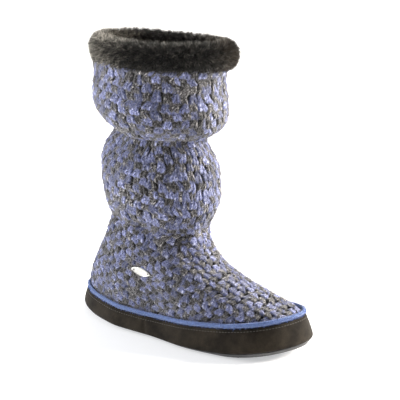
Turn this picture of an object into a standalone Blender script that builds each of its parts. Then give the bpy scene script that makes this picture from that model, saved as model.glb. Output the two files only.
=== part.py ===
"""A knitted slipper boot with a fur collar, for the right foot.

+X points to the toe, +Y to the inner side and +Z up.  The origin lies on the
floor under the middle of the heel.  All lengths are in metres.
"""
import math
from collections import namedtuple

import bmesh
import bpy
import numpy as np

# Sole: the widest line of the suede foxing sets the length and the plan.
LENGTH = 0.262
HEEL_X = -0.038
BALL_HALF_WIDTH = 0.0488
HEEL_ROUND = 0.18
TOE_ROUND = 0.26
TOE_POWER = 2.3
PLAN_STEP = math.radians(3.0)

FOXING_TOE_TOP = 0.0356
FOXING_THICKNESS = 0.0032
FOXING_BULGE = 0.0005
SOLE_EDGE_INSET = 0.0045
TOE_SPRING = 0.0066
TREAD_DEPTH = 0.0012
OUTSOLE_THICKNESS = 0.0042
FOOTBED_THICKNESS = 0.0105
FOOTBED_REACH = 0.88
GAP = 0.0003
UPPER_CLEARANCE = 0.0007

PAD_INSET = 0.0125
PAD_POWER = 6.0
HEEL_PAD = (0.045, 0.26)
FOREFOOT_PAD = (0.52, 0.86)
STUD_RADIUS = 0.0022
STUD_PITCH = 0.0160
STUD_INSET = 0.0085
STUD_SIDES = 6
STUD_HEEL_LIMIT = 0.22
STUD_TOE_LIMIT = 0.54

PIPING_WIDTH = 0.0032
PIPING_HEIGHT = 0.0050
PIPING_LAP_ANGLE = math.radians(113.0)
PIPING_LAP_SPREAD = math.radians(5.0)
PIPING_LAP_SWELL = 0.14

# Shaft: rings round an upright axis, dropping towards the toe.
AXIS_X = 0.057
AXIS_Y = 0.003
SHAFT_RADIUS = 0.065
SHAFT_HEIGHT = 0.256
ANKLE_HEIGHT = 0.107
PINCH_HEIGHT = 0.193
RING_TILT = 0.105
RING_LEAN = 0.026
WALL = 0.0030
GATHER_COUNT = 9
GATHER_DEPTH = 0.0014
GATHER_SPREAD = 0.011
PINCH_WANDER = 0.0022

COLLAR_SHIFT = (0.0030, 0.0015)
COLLAR_HEIGHT = 0.030
TUFT_DEPTH = 0.0011

BADGE_LENGTH = 0.0236
BADGE_WIDTH = 0.0082
BADGE_THICKNESS = 0.0009
BADGE_SLOT = (0.0012, 0.0030)
BADGE_SLOT_OFFSET = 0.0082
BADGE_ANGLE = math.radians(98.5)
BADGE_LEVEL = 0.47
BADGE_LIFT = 0.0006
BADGE_DIP = math.radians(7.0)

AROUND = 46
FOOT_LEVELS = 11
SHAFT_LEVELS = 20
SOLE_AROUND = 64
PIPING_SECTION = 8

# Plan: shares of LENGTH, then centre line and half width as shares of BALL_HALF_WIDTH.
PlanRow = namedtuple("PlanRow", "along centre half_width")
PLAN = (
    PlanRow(0.00, 0.08, 0.68),
    PlanRow(0.14, -0.03, 0.74),
    PlanRow(0.29, -0.155, 0.82),
    PlanRow(0.44, -0.17, 0.825),
    PlanRow(0.59, -0.14, 0.94),
    PlanRow(0.72, -0.035, 1.00),
    PlanRow(0.84, 0.05, 0.995),
    PlanRow(0.93, 0.105, 0.96),
    PlanRow(1.00, 0.21, 0.88),
)

# Side lines: share of LENGTH; widest line and top of the foxing as shares of
# FOXING_TOE_TOP; inset of the top as a share of the toe's inset; how far the suede
# turns under towards the sole's edge.
SideRow = namedtuple("SideRow", "along widest top inset turn_under")
TOP_INSET = 0.0079
SIDE = (
    SideRow(0.00, 0.225, 0.63, 0.51, 0.78),
    SideRow(0.38, 0.100, 0.52, 0.76, 0.55),
    SideRow(0.68, 0.140, 0.68, 0.90, 0.35),
    SideRow(1.00, 0.410, 1.00, 1.00, 0.25),
)

# Underside: share of LENGTH and height as a share of TOE_SPRING.
UnderRow = namedtuple("UnderRow", "along rise")
UNDERSIDE = (
    UnderRow(0.00, 0.0),
    UnderRow(0.26, 0.0),
    UnderRow(0.40, 0.09),
    UnderRow(0.54, 0.0),
    UnderRow(0.76, 0.0),
    UnderRow(1.00, 1.0),
)

# Shaft rings: height as a share of SHAFT_HEIGHT, the rest as shares of SHAFT_RADIUS.
RingRow = namedtuple("RingRow", "height half_length half_width drift")
RINGS = (
    RingRow(0.418, 0.785, 0.615, 0.015),
    RingRow(0.441, 0.845, 0.670, 0.010),
    RingRow(0.477, 0.900, 0.740, 0.010),
    RingRow(0.555, 0.945, 0.785, 0.000),
    RingRow(0.625, 0.940, 0.785, -0.015),
    RingRow(0.707, 0.825, 0.690, -0.015),
    RingRow(0.730, 0.770, 0.655, -0.010),
    RingRow(0.754, 0.715, 0.625, 0.010),
    RingRow(0.777, 0.830, 0.745, 0.000),
    RingRow(0.800, 0.930, 0.845, 0.005),
    RingRow(0.832, 1.000, 0.925, 0.000),
    RingRow(0.879, 1.030, 0.955, -0.015),
    RingRow(0.961, 0.990, 0.925, -0.020),
    RingRow(1.000, 1.010, 0.945, -0.010),
)

# Foot columns: turn from the toe through the outer side, then the pulls of the
# curve as shares of ANKLE_HEIGHT: inward and up at the foot, out and down at the
# ankle, and the bow of the side towards the middle.
ColumnRow = namedtuple("ColumnRow", "degrees inward up out down bow")
COLUMNS = (
    ColumnRow(0, 0.39, 0.15, 0.05, 0.37, 0.00),
    ColumnRow(30, 0.33, 0.17, 0.05, 0.345, 0.03),
    ColumnRow(45, 0.24, 0.19, 0.05, 0.32, 0.045),
    ColumnRow(60, 0.13, 0.215, 0.05, 0.29, 0.045),
    ColumnRow(90, -0.03, 0.28, 0.055, 0.25, 0.00),
    ColumnRow(120, -0.045, 0.28, 0.065, 0.24, 0.00),
    ColumnRow(150, -0.03, 0.26, 0.065, 0.26, 0.00),
    ColumnRow(180, -0.02, 0.26, 0.075, 0.27, 0.00),
    ColumnRow(210, -0.03, 0.26, 0.065, 0.26, 0.00),
    ColumnRow(240, -0.045, 0.28, 0.065, 0.24, 0.00),
    ColumnRow(270, -0.03, 0.26, 0.035, 0.25, 0.03),
    ColumnRow(300, 0.13, 0.19, -0.01, 0.32, 0.095),
    ColumnRow(315, 0.24, 0.17, -0.01, 0.345, 0.10),
    ColumnRow(330, 0.33, 0.16, 0.00, 0.365, 0.065),
    ColumnRow(360, 0.39, 0.15, 0.05, 0.37, 0.00),
)

# Collar section: steps out from the shaft's face and up from its rim.
SectionPoint = namedtuple("SectionPoint", "out up")
COLLAR_SECTION = (
    SectionPoint(0.0010, -0.0024),
    SectionPoint(0.0036, -0.0026),
    SectionPoint(0.0062, 0.0025),
    SectionPoint(0.0068, 0.0100),
    SectionPoint(0.0058, 0.0185),
    SectionPoint(0.0022, 0.0262),
    SectionPoint(-0.0040, 0.0298),
    SectionPoint(-0.0105, 0.0282),
    SectionPoint(-0.0155, 0.0222),
    SectionPoint(-0.0172, 0.0130),
    SectionPoint(-0.0160, 0.0050),
    SectionPoint(-0.0120, 0.0006),
    SectionPoint(0.0008, 0.0006),
)


def read_table(rows, field, at):
    """Return the smooth, never overshooting curve through one column of a table."""
    xs = np.array([row[0] for row in rows], dtype=float)
    ys = np.array([getattr(row, field) for row in rows], dtype=float)
    at = np.atleast_1d(np.asarray(at, dtype=float))
    step = np.diff(xs)
    slope = np.diff(ys) / step
    tangent = np.zeros(len(xs))
    tangent[0] = slope[0]
    tangent[-1] = slope[-1]
    for i in range(1, len(xs) - 1):
        if slope[i - 1] * slope[i] > 0:
            before = 2 * step[i] + step[i - 1]
            after = step[i] + 2 * step[i - 1]
            tangent[i] = (before + after) / (before / slope[i - 1] + after / slope[i])
    i = np.clip(np.searchsorted(xs, at) - 1, 0, len(xs) - 2)
    t = np.clip((at - xs[i]) / step[i], 0, 1)
    value = (2 * t**3 - 3 * t**2 + 1) * ys[i]
    value += (t**3 - 2 * t**2 + t) * step[i] * tangent[i]
    value += (3 * t**2 - 2 * t**3) * ys[i + 1]
    value += (t**3 - t**2) * step[i] * tangent[i + 1]
    return value


def turn(count):
    """Return angles once round, from the toe over the outer side to the heel and back."""
    return np.linspace(0, 2 * math.pi, count, endpoint=False)


def plan_sizes(share):
    """Return the centre line and half width of the sole at shares of its length."""
    centre = read_table(PLAN, "centre", share) * BALL_HALF_WIDTH
    half_width = read_table(PLAN, "half_width", share) * BALL_HALF_WIDTH
    heel = np.clip(1 - share / HEEL_ROUND, 0, 1)
    toe = np.clip((share - (1 - TOE_ROUND)) / TOE_ROUND, 0, 1)
    rounding = np.sqrt(1 - heel**2) * np.sqrt(1 - toe**TOE_POWER)
    return centre, half_width * rounding


def length_share(angles):
    """Return how far along the sole each angle of the plan lies."""
    return (1 + np.cos(angles)) / 2


def plan_loop(angles):
    """Return plan points on the foxing's widest line."""
    share = length_share(angles)
    centre, half_width = plan_sizes(share)
    side = np.where(np.mod(angles, 2 * math.pi) <= math.pi, -1.0, 1.0)
    return np.stack([HEEL_X + LENGTH * share, centre + side * half_width], axis=-1)


def inset(angles, distance):
    """Return the widest line moved inward by a distance for each angle."""
    points = plan_loop(angles)
    along = plan_loop(angles + PLAN_STEP) - plan_loop(angles - PLAN_STEP)
    along /= np.linalg.norm(along, axis=1)[:, None]
    outward = np.stack([-along[:, 1], along[:, 0]], axis=-1)
    return points - outward * np.broadcast_to(distance, len(points))[:, None]


def with_height(points, height):
    """Lift plan points to a height for each point."""
    return np.column_stack([points, np.broadcast_to(height, len(points))])


def underside(share):
    """Return the height of the tread's lowest faces."""
    return read_table(UNDERSIDE, "rise", share) * TOE_SPRING


def footbed_height(share):
    """Return the height of the footbed's top."""
    return underside(share) + TREAD_DEPTH + OUTSOLE_THICKNESS + FOOTBED_THICKNESS


def foxing_top(share):
    """Return height and inset of the foxing's upper edge."""
    height = read_table(SIDE, "top", share) * FOXING_TOE_TOP
    return height, read_table(SIDE, "inset", share) * TOP_INSET


def foxing_widest(share):
    """Return the height of the foxing's widest line."""
    return read_table(SIDE, "widest", share) * FOXING_TOE_TOP


def foxing_hem(share):
    """Return height and inset of the suede's lower edge, turned in under the widest line."""
    reach = read_table(SIDE, "turn_under", share)
    widest = foxing_widest(share)
    base = underside(share) + TREAD_DEPTH
    return widest + (base - widest) * reach, SOLE_EDGE_INSET * reach


def ring(angles, height, radius_scale, drift=0.0):
    """Return one tilted ring of the shaft."""
    half_length, half_width = radius_scale
    x = half_length * np.cos(angles) + drift
    y = -half_width * np.sin(angles)
    z = height - RING_TILT * x - RING_LEAN * y
    return np.stack([AXIS_X + x, AXIS_Y + y, z], axis=-1)


def gathers(angles, height):
    """Return how far the knit is drawn in by the folds near both pinches."""
    depth = np.zeros(len(angles))
    for number, pinch in enumerate((ANKLE_HEIGHT, PINCH_HEIGHT)):
        near = math.exp(-((height - pinch) / GATHER_SPREAD) ** 2)
        wave = np.cos(GATHER_COUNT * angles + number) + 0.6 * np.cos(4 * angles + 2 * number)
        depth += near * GATHER_DEPTH * wave
    return depth


def shaft_ring(angles, height):
    """Return the shaft's outer face at one height."""
    share = height / SHAFT_HEIGHT
    half_length = read_table(RINGS, "half_length", share) * SHAFT_RADIUS
    half_width = read_table(RINGS, "half_width", share) * SHAFT_RADIUS
    drift = read_table(RINGS, "drift", share) * SHAFT_RADIUS
    drawn = gathers(angles, height)
    points = ring(angles, height, (half_length - drawn, half_width - drawn), drift)
    wander = math.exp(-((height - PINCH_HEIGHT) / (3 * GATHER_SPREAD)) ** 2)
    points[:, 2] += PINCH_WANDER * wander * np.sin(2 * angles + 0.6)
    return points


def feather_line(angles):
    """Return the knit's outer face where it comes out from behind the piping."""
    share = length_share(angles)
    height, top_inset = foxing_top(share)
    reach = top_inset + FOXING_THICKNESS + UPPER_CLEARANCE
    return with_height(inset(angles, reach), height + PIPING_HEIGHT / 2)


def foot_level(angles, t):
    """Return the foot's outer face at a share of the way from the feather line to the ankle."""
    start = feather_line(angles)
    end = shaft_ring(angles, ANKLE_HEIGHT)
    degrees = np.degrees(angles)
    pull = {}
    for field in ColumnRow._fields[1:]:
        pull[field] = read_table(COLUMNS, field, degrees) * ANKLE_HEIGHT
    heading = end[:, :2] - start[:, :2]
    heading /= np.linalg.norm(heading, axis=1)[:, None]
    radial = np.stack([np.cos(angles), -np.sin(angles)], axis=-1)
    bow = np.where(angles <= math.pi, 1.0, -1.0) * pull["bow"]
    first = start + np.column_stack([heading * pull["inward"][:, None], pull["up"]])
    second = end + np.column_stack([radial * pull["out"][:, None], -pull["down"]])
    first[:, 1] += bow
    second[:, 1] += bow
    curve = (1 - t) ** 3 * start + 3 * (1 - t) ** 2 * t * first
    return curve + 3 * (1 - t) * t**2 * second + t**3 * end


def upper_face(angles):
    """Return the knit's outer face as rings from the hidden margin to the rim."""
    share = length_share(angles)
    top, top_inset = foxing_top(share)
    reach = top_inset + FOXING_THICKNESS + UPPER_CLEARANCE
    margin = with_height(inset(angles, reach), footbed_height(share) + GAP)
    rings = [margin]
    for t in np.linspace(0, 1, FOOT_LEVELS):
        rings.append(foot_level(angles, t))
    for height in np.linspace(ANKLE_HEIGHT, SHAFT_HEIGHT, SHAFT_LEVELS)[1:]:
        rings.append(shaft_ring(angles, height))
    return np.array(rings)


def face_normals(rings):
    """Return outward normals of a grid of rings."""
    around = np.roll(rings, -1, axis=1) - np.roll(rings, 1, axis=1)
    upward = np.gradient(rings, axis=0)
    normals = np.cross(upward, around)
    return normals / np.linalg.norm(normals, axis=2)[:, :, None]


def new_object(name, mesh_data, material):
    """Link a named object holding the given bmesh."""
    bmesh.ops.recalc_face_normals(mesh_data, faces=mesh_data.faces[:])
    mesh = bpy.data.meshes.new(name)
    mesh_data.to_mesh(mesh)
    mesh_data.free()
    if material is not None:
        mesh.materials.append(material)
    item = bpy.data.objects.new(name, mesh)
    bpy.context.scene.collection.objects.link(item)
    return item


def add_rings(mesh_data, rings):
    """Add rings of vertices joined by side faces and return the vertices."""
    grid = [[mesh_data.verts.new(point) for point in loop] for loop in rings]
    for lower, higher in zip(grid, grid[1:]):
        join_loops(mesh_data, lower, higher)
    return grid


def join_loops(mesh_data, lower, higher):
    """Bridge two loops of as many vertices with triangles."""
    count = len(lower)
    for i in range(count):
        j = (i + 1) % count
        mesh_data.faces.new((lower[i], lower[j], higher[j]))
        mesh_data.faces.new((lower[i], higher[j], higher[i]))


def closed_band(name, rings, material):
    """Build a ring shaped solid whose section is closed."""
    mesh_data = bmesh.new()
    grid = add_rings(mesh_data, rings)
    join_loops(mesh_data, grid[-1], grid[0])
    return new_object(name, mesh_data, material)


def cap_across(mesh_data, loop):
    """Close a sole shaped loop with strips that run from side to side."""
    count = len(loop)
    for i in range(count // 2):
        corners = (loop[i], loop[i + 1], loop[(count - i - 1) % count], loop[(count - i) % count])
        unique = list(dict.fromkeys(corners))
        mesh_data.faces.new(unique[:3])
        if len(unique) == 4:
            mesh_data.faces.new((unique[0], unique[2], unique[3]))


def sole_slab(name, rings, material):
    """Build a sole shaped solid from rings, closed below and above."""
    mesh_data = bmesh.new()
    grid = add_rings(mesh_data, rings)
    cap_across(mesh_data, grid[0])
    cap_across(mesh_data, grid[-1])
    return new_object(name, mesh_data, material)


def principled(name, colour, roughness, metallic=0.0):
    """Return a plain material."""
    material = bpy.data.materials.new(name)
    material.use_nodes = True
    shader = material.node_tree.nodes["Principled BSDF"]
    shader.inputs["Base Color"].default_value = (*colour, 1.0)
    shader.inputs["Roughness"].default_value = roughness
    shader.inputs["Metallic"].default_value = metallic
    material.diffuse_color = (*colour, 1.0)
    return material


def add_prism(mesh_data, outline, low, high):
    """Add an upright prism over a plan outline."""
    bottom = [mesh_data.verts.new((x, y, low)) for x, y in outline]
    top = [mesh_data.verts.new((x, y, high)) for x, y in outline]
    join_loops(mesh_data, bottom, top)
    mesh_data.faces.new(bottom)
    mesh_data.faces.new(top)


def pad_outline(first, last):
    """Return the outline of a flat tread pad between two shares of the length."""
    angles = turn(22)
    middle = (first + last) / 2
    reach = np.cos(angles)
    share = middle + (last - first) / 2 * reach
    centre, half_width = plan_sizes(share)
    side = np.where(np.sin(angles) < 0, -1.0, 1.0)
    rounding = np.sqrt(np.clip(1 - np.abs(reach) ** PAD_POWER, 0, 1))
    y = centre + side * (half_width - PAD_INSET) * rounding
    return list(zip(HEEL_X + LENGTH * share, y))


def stud_places():
    """Return shares and plan points of the round studs along the heel and the forefoot."""
    angles = turn(720)
    share = length_share(angles)
    path = inset(angles, STUD_INSET)
    places = []
    travelled = STUD_PITCH
    for i in range(len(angles)):
        travelled += math.dist(path[i], path[i - 1]) if i else 0.0
        wanted = share[i] < STUD_HEEL_LIMIT or share[i] > STUD_TOE_LIMIT
        if wanted and travelled >= STUD_PITCH:
            places.append((share[i], path[i]))
            travelled = 0.0
    return places[:-1]


def make_tread():
    """Build the pads and studs that stand out under the outsole."""
    mesh_data = bmesh.new()
    sunk = TREAD_DEPTH + OUTSOLE_THICKNESS / 3
    for first, last in (HEEL_PAD, FOREFOOT_PAD):
        add_prism(mesh_data, pad_outline(first, last), 0.0, sunk)
    for share, (x, y) in stud_places():
        low = float(underside(share)[0])
        outline = []
        for step in range(STUD_SIDES):
            angle = 2 * math.pi * step / STUD_SIDES
            outline.append((x + STUD_RADIUS * math.cos(angle), y + STUD_RADIUS * math.sin(angle)))
        add_prism(mesh_data, outline, low, low + sunk)
    tread = new_object("tread_pads", mesh_data, None)
    tread.hide_render = True
    tread.display_type = "WIRE"
    return tread


def make_outsole(material):
    """Build the rubber outsole with its pads and studs."""
    angles = turn(SOLE_AROUND)
    share = length_share(angles)
    low = underside(share) + TREAD_DEPTH
    hem, hem_inset = foxing_hem(share)
    inner = SOLE_EDGE_INSET + FOXING_THICKNESS
    rings = [
        with_height(inset(angles, SOLE_EDGE_INSET), low),
        with_height(inset(angles, hem_inset + GAP), hem - GAP),
        with_height(inset(angles, inner), low + OUTSOLE_THICKNESS * 0.75),
        with_height(inset(angles, inner + FOXING_THICKNESS), low + OUTSOLE_THICKNESS),
    ]
    outsole = sole_slab("outsole", rings, material)
    union = outsole.modifiers.new("tread", "BOOLEAN")
    union.operation = "UNION"
    union.solver = "EXACT"
    union.use_self = True
    union.object = make_tread()
    return outsole


def make_foxing(material):
    """Build the suede band round the sole."""
    angles = turn(SOLE_AROUND)
    share = length_share(angles)
    top, top_inset = foxing_top(share)
    widest = foxing_widest(share)
    hem, hem_inset = foxing_hem(share)
    middle = (top + widest) / 2
    low_inner = np.maximum(hem, underside(share) + TREAD_DEPTH + OUTSOLE_THICKNESS) + GAP
    rings = [
        with_height(inset(angles, top_inset), top),
        with_height(inset(angles, top_inset / 2 - FOXING_BULGE), middle),
        with_height(inset(angles, 0.0), widest),
        with_height(inset(angles, hem_inset), hem),
        with_height(inset(angles, hem_inset + FOXING_THICKNESS), low_inner),
        with_height(inset(angles, top_inset / 2 + FOXING_THICKNESS), np.maximum(middle, low_inner + GAP)),
        with_height(inset(angles, top_inset + FOXING_THICKNESS), top),
    ]
    return closed_band("foxing", rings, material)


def make_insole(material):
    """Build the cushioned footbed inside the foxing."""
    angles = turn(SOLE_AROUND)
    share = length_share(angles)
    _, top_inset = foxing_top(share)
    low = underside(share) + TREAD_DEPTH + OUTSOLE_THICKNESS + GAP
    clear = FOOTBED_REACH * top_inset + FOXING_THICKNESS + GAP
    rings = [
        with_height(inset(angles, np.maximum(clear, SOLE_EDGE_INSET + 2 * FOXING_THICKNESS)), low),
        with_height(inset(angles, clear), low + FOOTBED_THICKNESS / 2),
        with_height(inset(angles, clear), footbed_height(share)),
    ]
    return sole_slab("insole", rings, material)


def make_piping(material):
    """Build the soft cord on the foxing's upper edge, a little thicker at its lap."""
    angles = turn(SOLE_AROUND)
    share = length_share(angles)
    top, top_inset = foxing_top(share)
    lap = np.exp(-(((angles - PIPING_LAP_ANGLE) / PIPING_LAP_SPREAD) ** 2))
    swell = 1 + PIPING_LAP_SWELL * lap
    rings = []
    for turn_angle in turn(PIPING_SECTION):
        out = PIPING_WIDTH / 2 * math.cos(turn_angle) * swell
        up = (PIPING_HEIGHT - 2 * GAP) / 2 * math.sin(turn_angle)
        reach = top_inset + PIPING_WIDTH / 2 - out - PIPING_WIDTH / 2 * (swell - 1)
        rings.append(with_height(inset(angles, reach), top + PIPING_HEIGHT / 2 + GAP + up))
    return closed_band("piping", rings, material)


def make_upper(material):
    """Build the hollow knitted upper, open at the collar and underneath."""
    outer = upper_face(turn(AROUND))
    inner = outer - face_normals(outer) * WALL
    inner[0, :, 2] = outer[0, :, 2]
    inner[-1, :, 2] = outer[-1, :, 2]
    return closed_band("upper", np.concatenate([outer, inner[::-1]]), material)


def make_collar(material):
    """Build the fur cuff on the rim, its face broken up by locks."""
    angles = turn(AROUND + AROUND // 2)
    number = np.arange(len(angles))
    rim = RINGS[-1]
    rings = []
    for row, point in enumerate(COLLAR_SECTION):
        free = min(1.0, max(0.0, point.up / COLLAR_HEIGHT * 6))
        lock = np.where((number + row) % 2 == 0, 1.0, -0.4) * TUFT_DEPTH * free
        lock *= 0.6 + 0.4 * np.sin(5 * angles + 1.7 * row)
        out = point.out + lock * np.sign(point.out + COLLAR_HEIGHT / 8)
        size = (rim.half_length * SHAFT_RADIUS + out, rim.half_width * SHAFT_RADIUS + out)
        loop = ring(angles, SHAFT_HEIGHT + point.up + lock / 2, size, rim.drift * SHAFT_RADIUS)
        loop[:, 0] += COLLAR_SHIFT[0] * free
        loop[:, 1] += COLLAR_SHIFT[1] * free
        rings.append(loop)
    return closed_band("collar", rings, material)


def badge_frame():
    """Return the badge's middle and its axes: along, across and outward."""
    step = math.radians(1.0)
    angles = np.array([BADGE_ANGLE - step, BADGE_ANGLE, BADGE_ANGLE + step])
    here = foot_level(angles, BADGE_LEVEL)
    above = foot_level(angles, BADGE_LEVEL + 0.02)[1]
    outward = np.cross(here[0] - here[2], above - here[1])
    outward /= np.linalg.norm(outward)
    level = np.cross([0.0, 0.0, 1.0], outward)
    level /= np.linalg.norm(level)
    upward = np.cross(outward, level)
    along = level * math.cos(BADGE_DIP) - upward * math.sin(BADGE_DIP)
    return here[1], along, np.cross(outward, along), outward


def pointed_oval(count):
    """Return the badge's outline, sharp at both ends."""
    outline = []
    for angle in turn(count):
        x = BADGE_LENGTH / 2 * math.cos(angle)
        y = BADGE_WIDTH / 2 * math.copysign(abs(math.sin(angle)) ** 1.5, math.sin(angle))
        outline.append((x, y))
    return outline


def badge_plate(name, outline, low, high, material):
    """Build a flat plate in the badge's own frame."""
    middle, along, across, outward = badge_frame()
    mesh_data = bmesh.new()
    loops = []
    for level in (low, high):
        loop = []
        for x, y in outline:
            loop.append(mesh_data.verts.new(middle + along * x + across * y + outward * level))
        loops.append(loop)
    join_loops(mesh_data, *loops)
    mesh_data.faces.new(loops[0])
    mesh_data.faces.new(loops[1])
    return new_object(name, mesh_data, material)


def make_badge(material):
    """Build the blank metal badge with a sewing slot near each end."""
    badge = badge_plate("badge", pointed_oval(16), BADGE_LIFT, BADGE_LIFT + BADGE_THICKNESS, material)
    length, width = BADGE_SLOT
    for number, side in enumerate((-1, 1)):
        corners = []
        for x, y in ((-1, -1), (1, -1), (1, 1), (-1, 1)):
            corners.append((side * BADGE_SLOT_OFFSET + x * length / 2, y * width / 2))
        low = BADGE_LIFT - BADGE_THICKNESS
        cutter = badge_plate(f"slot_{number}", corners, low, BADGE_LIFT + 2 * BADGE_THICKNESS, None)
        cutter.hide_render = True
        cutter.display_type = "WIRE"
        cut = badge.modifiers.new(f"slot {number}", "BOOLEAN")
        cut.operation = "DIFFERENCE"
        cut.solver = "EXACT"
        cut.object = cutter
    return badge


def main():
    """Build the boot's parts."""
    for item in list(bpy.data.objects):
        bpy.data.objects.remove(item, do_unlink=True)
    rubber = principled("rubber", (0.055, 0.055, 0.058), 0.75)
    suede = principled("suede", (0.040, 0.032, 0.027), 0.95)
    fleece_cord = principled("fleece cord", (0.36, 0.47, 0.80), 0.95)
    knit = principled("knit", (0.26, 0.29, 0.46), 0.95)
    fur = principled("fur", (0.035, 0.033, 0.030), 0.95)
    cushion = principled("cushion", (0.075, 0.070, 0.066), 0.95)
    metal = principled("brushed metal", (0.78, 0.77, 0.75), 0.30, 1.0)
    make_outsole(rubber)
    make_foxing(suede)
    make_insole(cushion)
    make_piping(fleece_cord)
    make_upper(knit)
    make_collar(fur)
    make_badge(metal)


main()
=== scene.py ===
"""Looks for the knitted slipper boot: knit, fur, suede, cord, sole and badge.

+X points to the toe, +Y to the inner side and +Z up.  The origin lies on the
floor under the middle of the heel.  All lengths are in metres.
"""
import math
from collections import namedtuple

import bmesh
import bpy
import numpy as np
from mathutils import Matrix, Vector


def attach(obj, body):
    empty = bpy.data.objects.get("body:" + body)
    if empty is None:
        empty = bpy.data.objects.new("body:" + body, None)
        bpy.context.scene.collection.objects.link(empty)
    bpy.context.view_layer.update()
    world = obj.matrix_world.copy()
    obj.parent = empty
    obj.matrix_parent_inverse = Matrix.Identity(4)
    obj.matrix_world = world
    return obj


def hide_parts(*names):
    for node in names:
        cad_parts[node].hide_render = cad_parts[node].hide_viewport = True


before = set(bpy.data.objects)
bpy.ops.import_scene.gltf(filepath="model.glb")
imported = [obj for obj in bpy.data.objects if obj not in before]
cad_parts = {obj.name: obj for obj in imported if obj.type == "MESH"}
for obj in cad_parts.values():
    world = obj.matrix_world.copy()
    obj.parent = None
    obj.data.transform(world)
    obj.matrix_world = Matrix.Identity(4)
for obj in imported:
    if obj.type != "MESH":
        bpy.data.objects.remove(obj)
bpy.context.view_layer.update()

# Sole: the widest line of the suede foxing sets the length and the plan.
LENGTH = 0.262
HEEL_X = -0.038
BALL_HALF_WIDTH = 0.0488
HEEL_ROUND = 0.18
TOE_ROUND = 0.26
TOE_POWER = 2.3
PLAN_STEP = math.radians(3.0)

FOXING_TOE_TOP = 0.0356
FOXING_THICKNESS = 0.0032
FOXING_BULGE = 0.0005
SOLE_EDGE_INSET = 0.0045
TOE_SPRING = 0.0066
TREAD_DEPTH = 0.0012
OUTSOLE_THICKNESS = 0.0042
FOOTBED_THICKNESS = 0.0105
FOOTBED_REACH = 0.88
FOOTBED_EDGE = 0.002
SOLE_EDGE_LEVEL = 0.75
GAP = 0.0003
UPPER_CLEARANCE = 0.0007

# Tread: pads between two shares of the length, and round studs along the edge.  A
# stud's taper is a share of its radius, its depth and level are shares of TREAD_DEPTH.
PAD_INSET = 0.0125
PAD_POWER = 6.0
HEEL_PAD = (0.045, 0.26)
FOREFOOT_PAD = (0.52, 0.86)
STUD_RADIUS = 0.0022
STUD_PITCH = 0.0160
STUD_INSET = 0.0085
STUD_HEEL_LIMIT = 0.22
STUD_TOE_LIMIT = 0.54
STUD_SIDES = 14
STUD_TAPER = 0.85
STUD_DEPTH = 1.3
STUD_LEVEL = 0.7

# Piping: a soft cord, thicker where its ends lap.
PIPING_WIDTH = 0.0032
PIPING_HEIGHT = 0.0050
PIPING_LAP_ANGLE = math.radians(113.0)
PIPING_LAP_SPREAD = math.radians(5.0)
PIPING_LAP_SWELL = 0.14

# Shaft: rings round an upright axis, dropping towards the toe.
AXIS_X = 0.057
AXIS_Y = 0.003
SHAFT_RADIUS = 0.065
SHAFT_HEIGHT = 0.256
ANKLE_HEIGHT = 0.107
PINCH_HEIGHT = 0.193
RING_TILT = 0.105
RING_LEAN = 0.026
WALL = 0.0030

# Gathers near both pinches, fine and broad ones, and how much further creases lift
# and the upper pinch wanders.
GATHER_COUNT = 9
GATHER_DEPTH = 0.0014
GATHER_SPREAD = 0.011
BROAD_GATHER = 0.6
BROAD_GATHER_COUNT = 4
LIFT_SPREAD = 3
PINCH_WANDER = 0.0022
WANDER_START = 0.6

# Collar: its shift towards toe and inner side, and its height.
COLLAR_SHIFT = (0.0030, 0.0015)
COLLAR_HEIGHT = 0.030

# Badge: its size and its slots, drawn as dark beads of painted shade, its place on the
# foot's face with the steps that show how the face lies there, and its dip towards the toe.
BADGE_LENGTH = 0.0236
BADGE_WIDTH = 0.0082
BADGE_THICKNESS = 0.0009
BADGE_SLOT = (0.0012, 0.0030)
BADGE_SLOT_OFFSET = 0.0082
BADGE_ANGLE = math.radians(98.5)
BADGE_LEVEL = 0.47
BADGE_LEVEL_STEP = 0.02
BADGE_ANGLE_STEP = math.radians(1.0)
BADGE_LIFT = 0.0006
BADGE_DIP = math.radians(7.0)
BADGE_POINT = 0.9

# Knit: stitches round the shaft, their size on the foot and the turn of the foot's rows,
# then the coarse grid that is spread flat for the foot, and the samples up the shaft.
STITCHES_ROUND = 46
ROW_PITCH = 0.0080
FOOT_STITCH = 0.0069
FOOT_TURN = math.radians(26.0)
FLATTEN_TURNS = 25
COARSE_ROWS = 15
COARSE_COLUMNS = 31
ROW_SAMPLES = 400

# Relief of the knit, the haze between neighbouring stitches, how far blue yarn spreads
# over dark yarn, and the shares of whole stitches and of single legs in the other colour.
KNIT_RELIEF = 0.0024
RELIEF_MIDDLE = 0.50
KNIT_HAIR = 0.22
BLUE_SPREAD = 0.07
ODD_STITCHES = 0.03
ODD_LEGS = 0.09

# One stitch, in stitches: how far it strays, and the ends and the thickness of its legs.
# Two numbers are the limits that a value varies between.
STITCH_SWAY = 0.33
STITCH_SIZE = (0.86, 1.14)
STITCH_RISE = (0.80, 1.15)
LEG_TOP = 0.05
LEG_FOOT = 0.27
LEG_START = 1.22
LEG_END = 0.02
LEG_DROP = 0.12
LEG_RADIUS = 0.325
LEG_GROWTH = (0.66, 1.16)
LEG_HEIGHT = (0.45, 1.00)

# Streaks of the yarn: how they slant across and along a leg, their run and their step
# from one leg to the next.
STREAK_SLANT = (1.5, 1.8)
STREAK_RUN = 3.4
STREAK_STEP = 17.0

# Swells of the knitting: waves round the shaft, and turns for each stitch on the foot.
SWELLS_ROUND = 9
SLOW_SWELLS_ROUND = 4
FOOT_SWELL = 1.4
SLOW_FOOT_SWELL = 0.6

# Fixed random numbers: factors for column, row and salt, then their spread.
SCATTER_FACTORS = (12.9898, 78.233, 37.719)
SCATTER_SPREAD = 43758.5453

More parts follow.
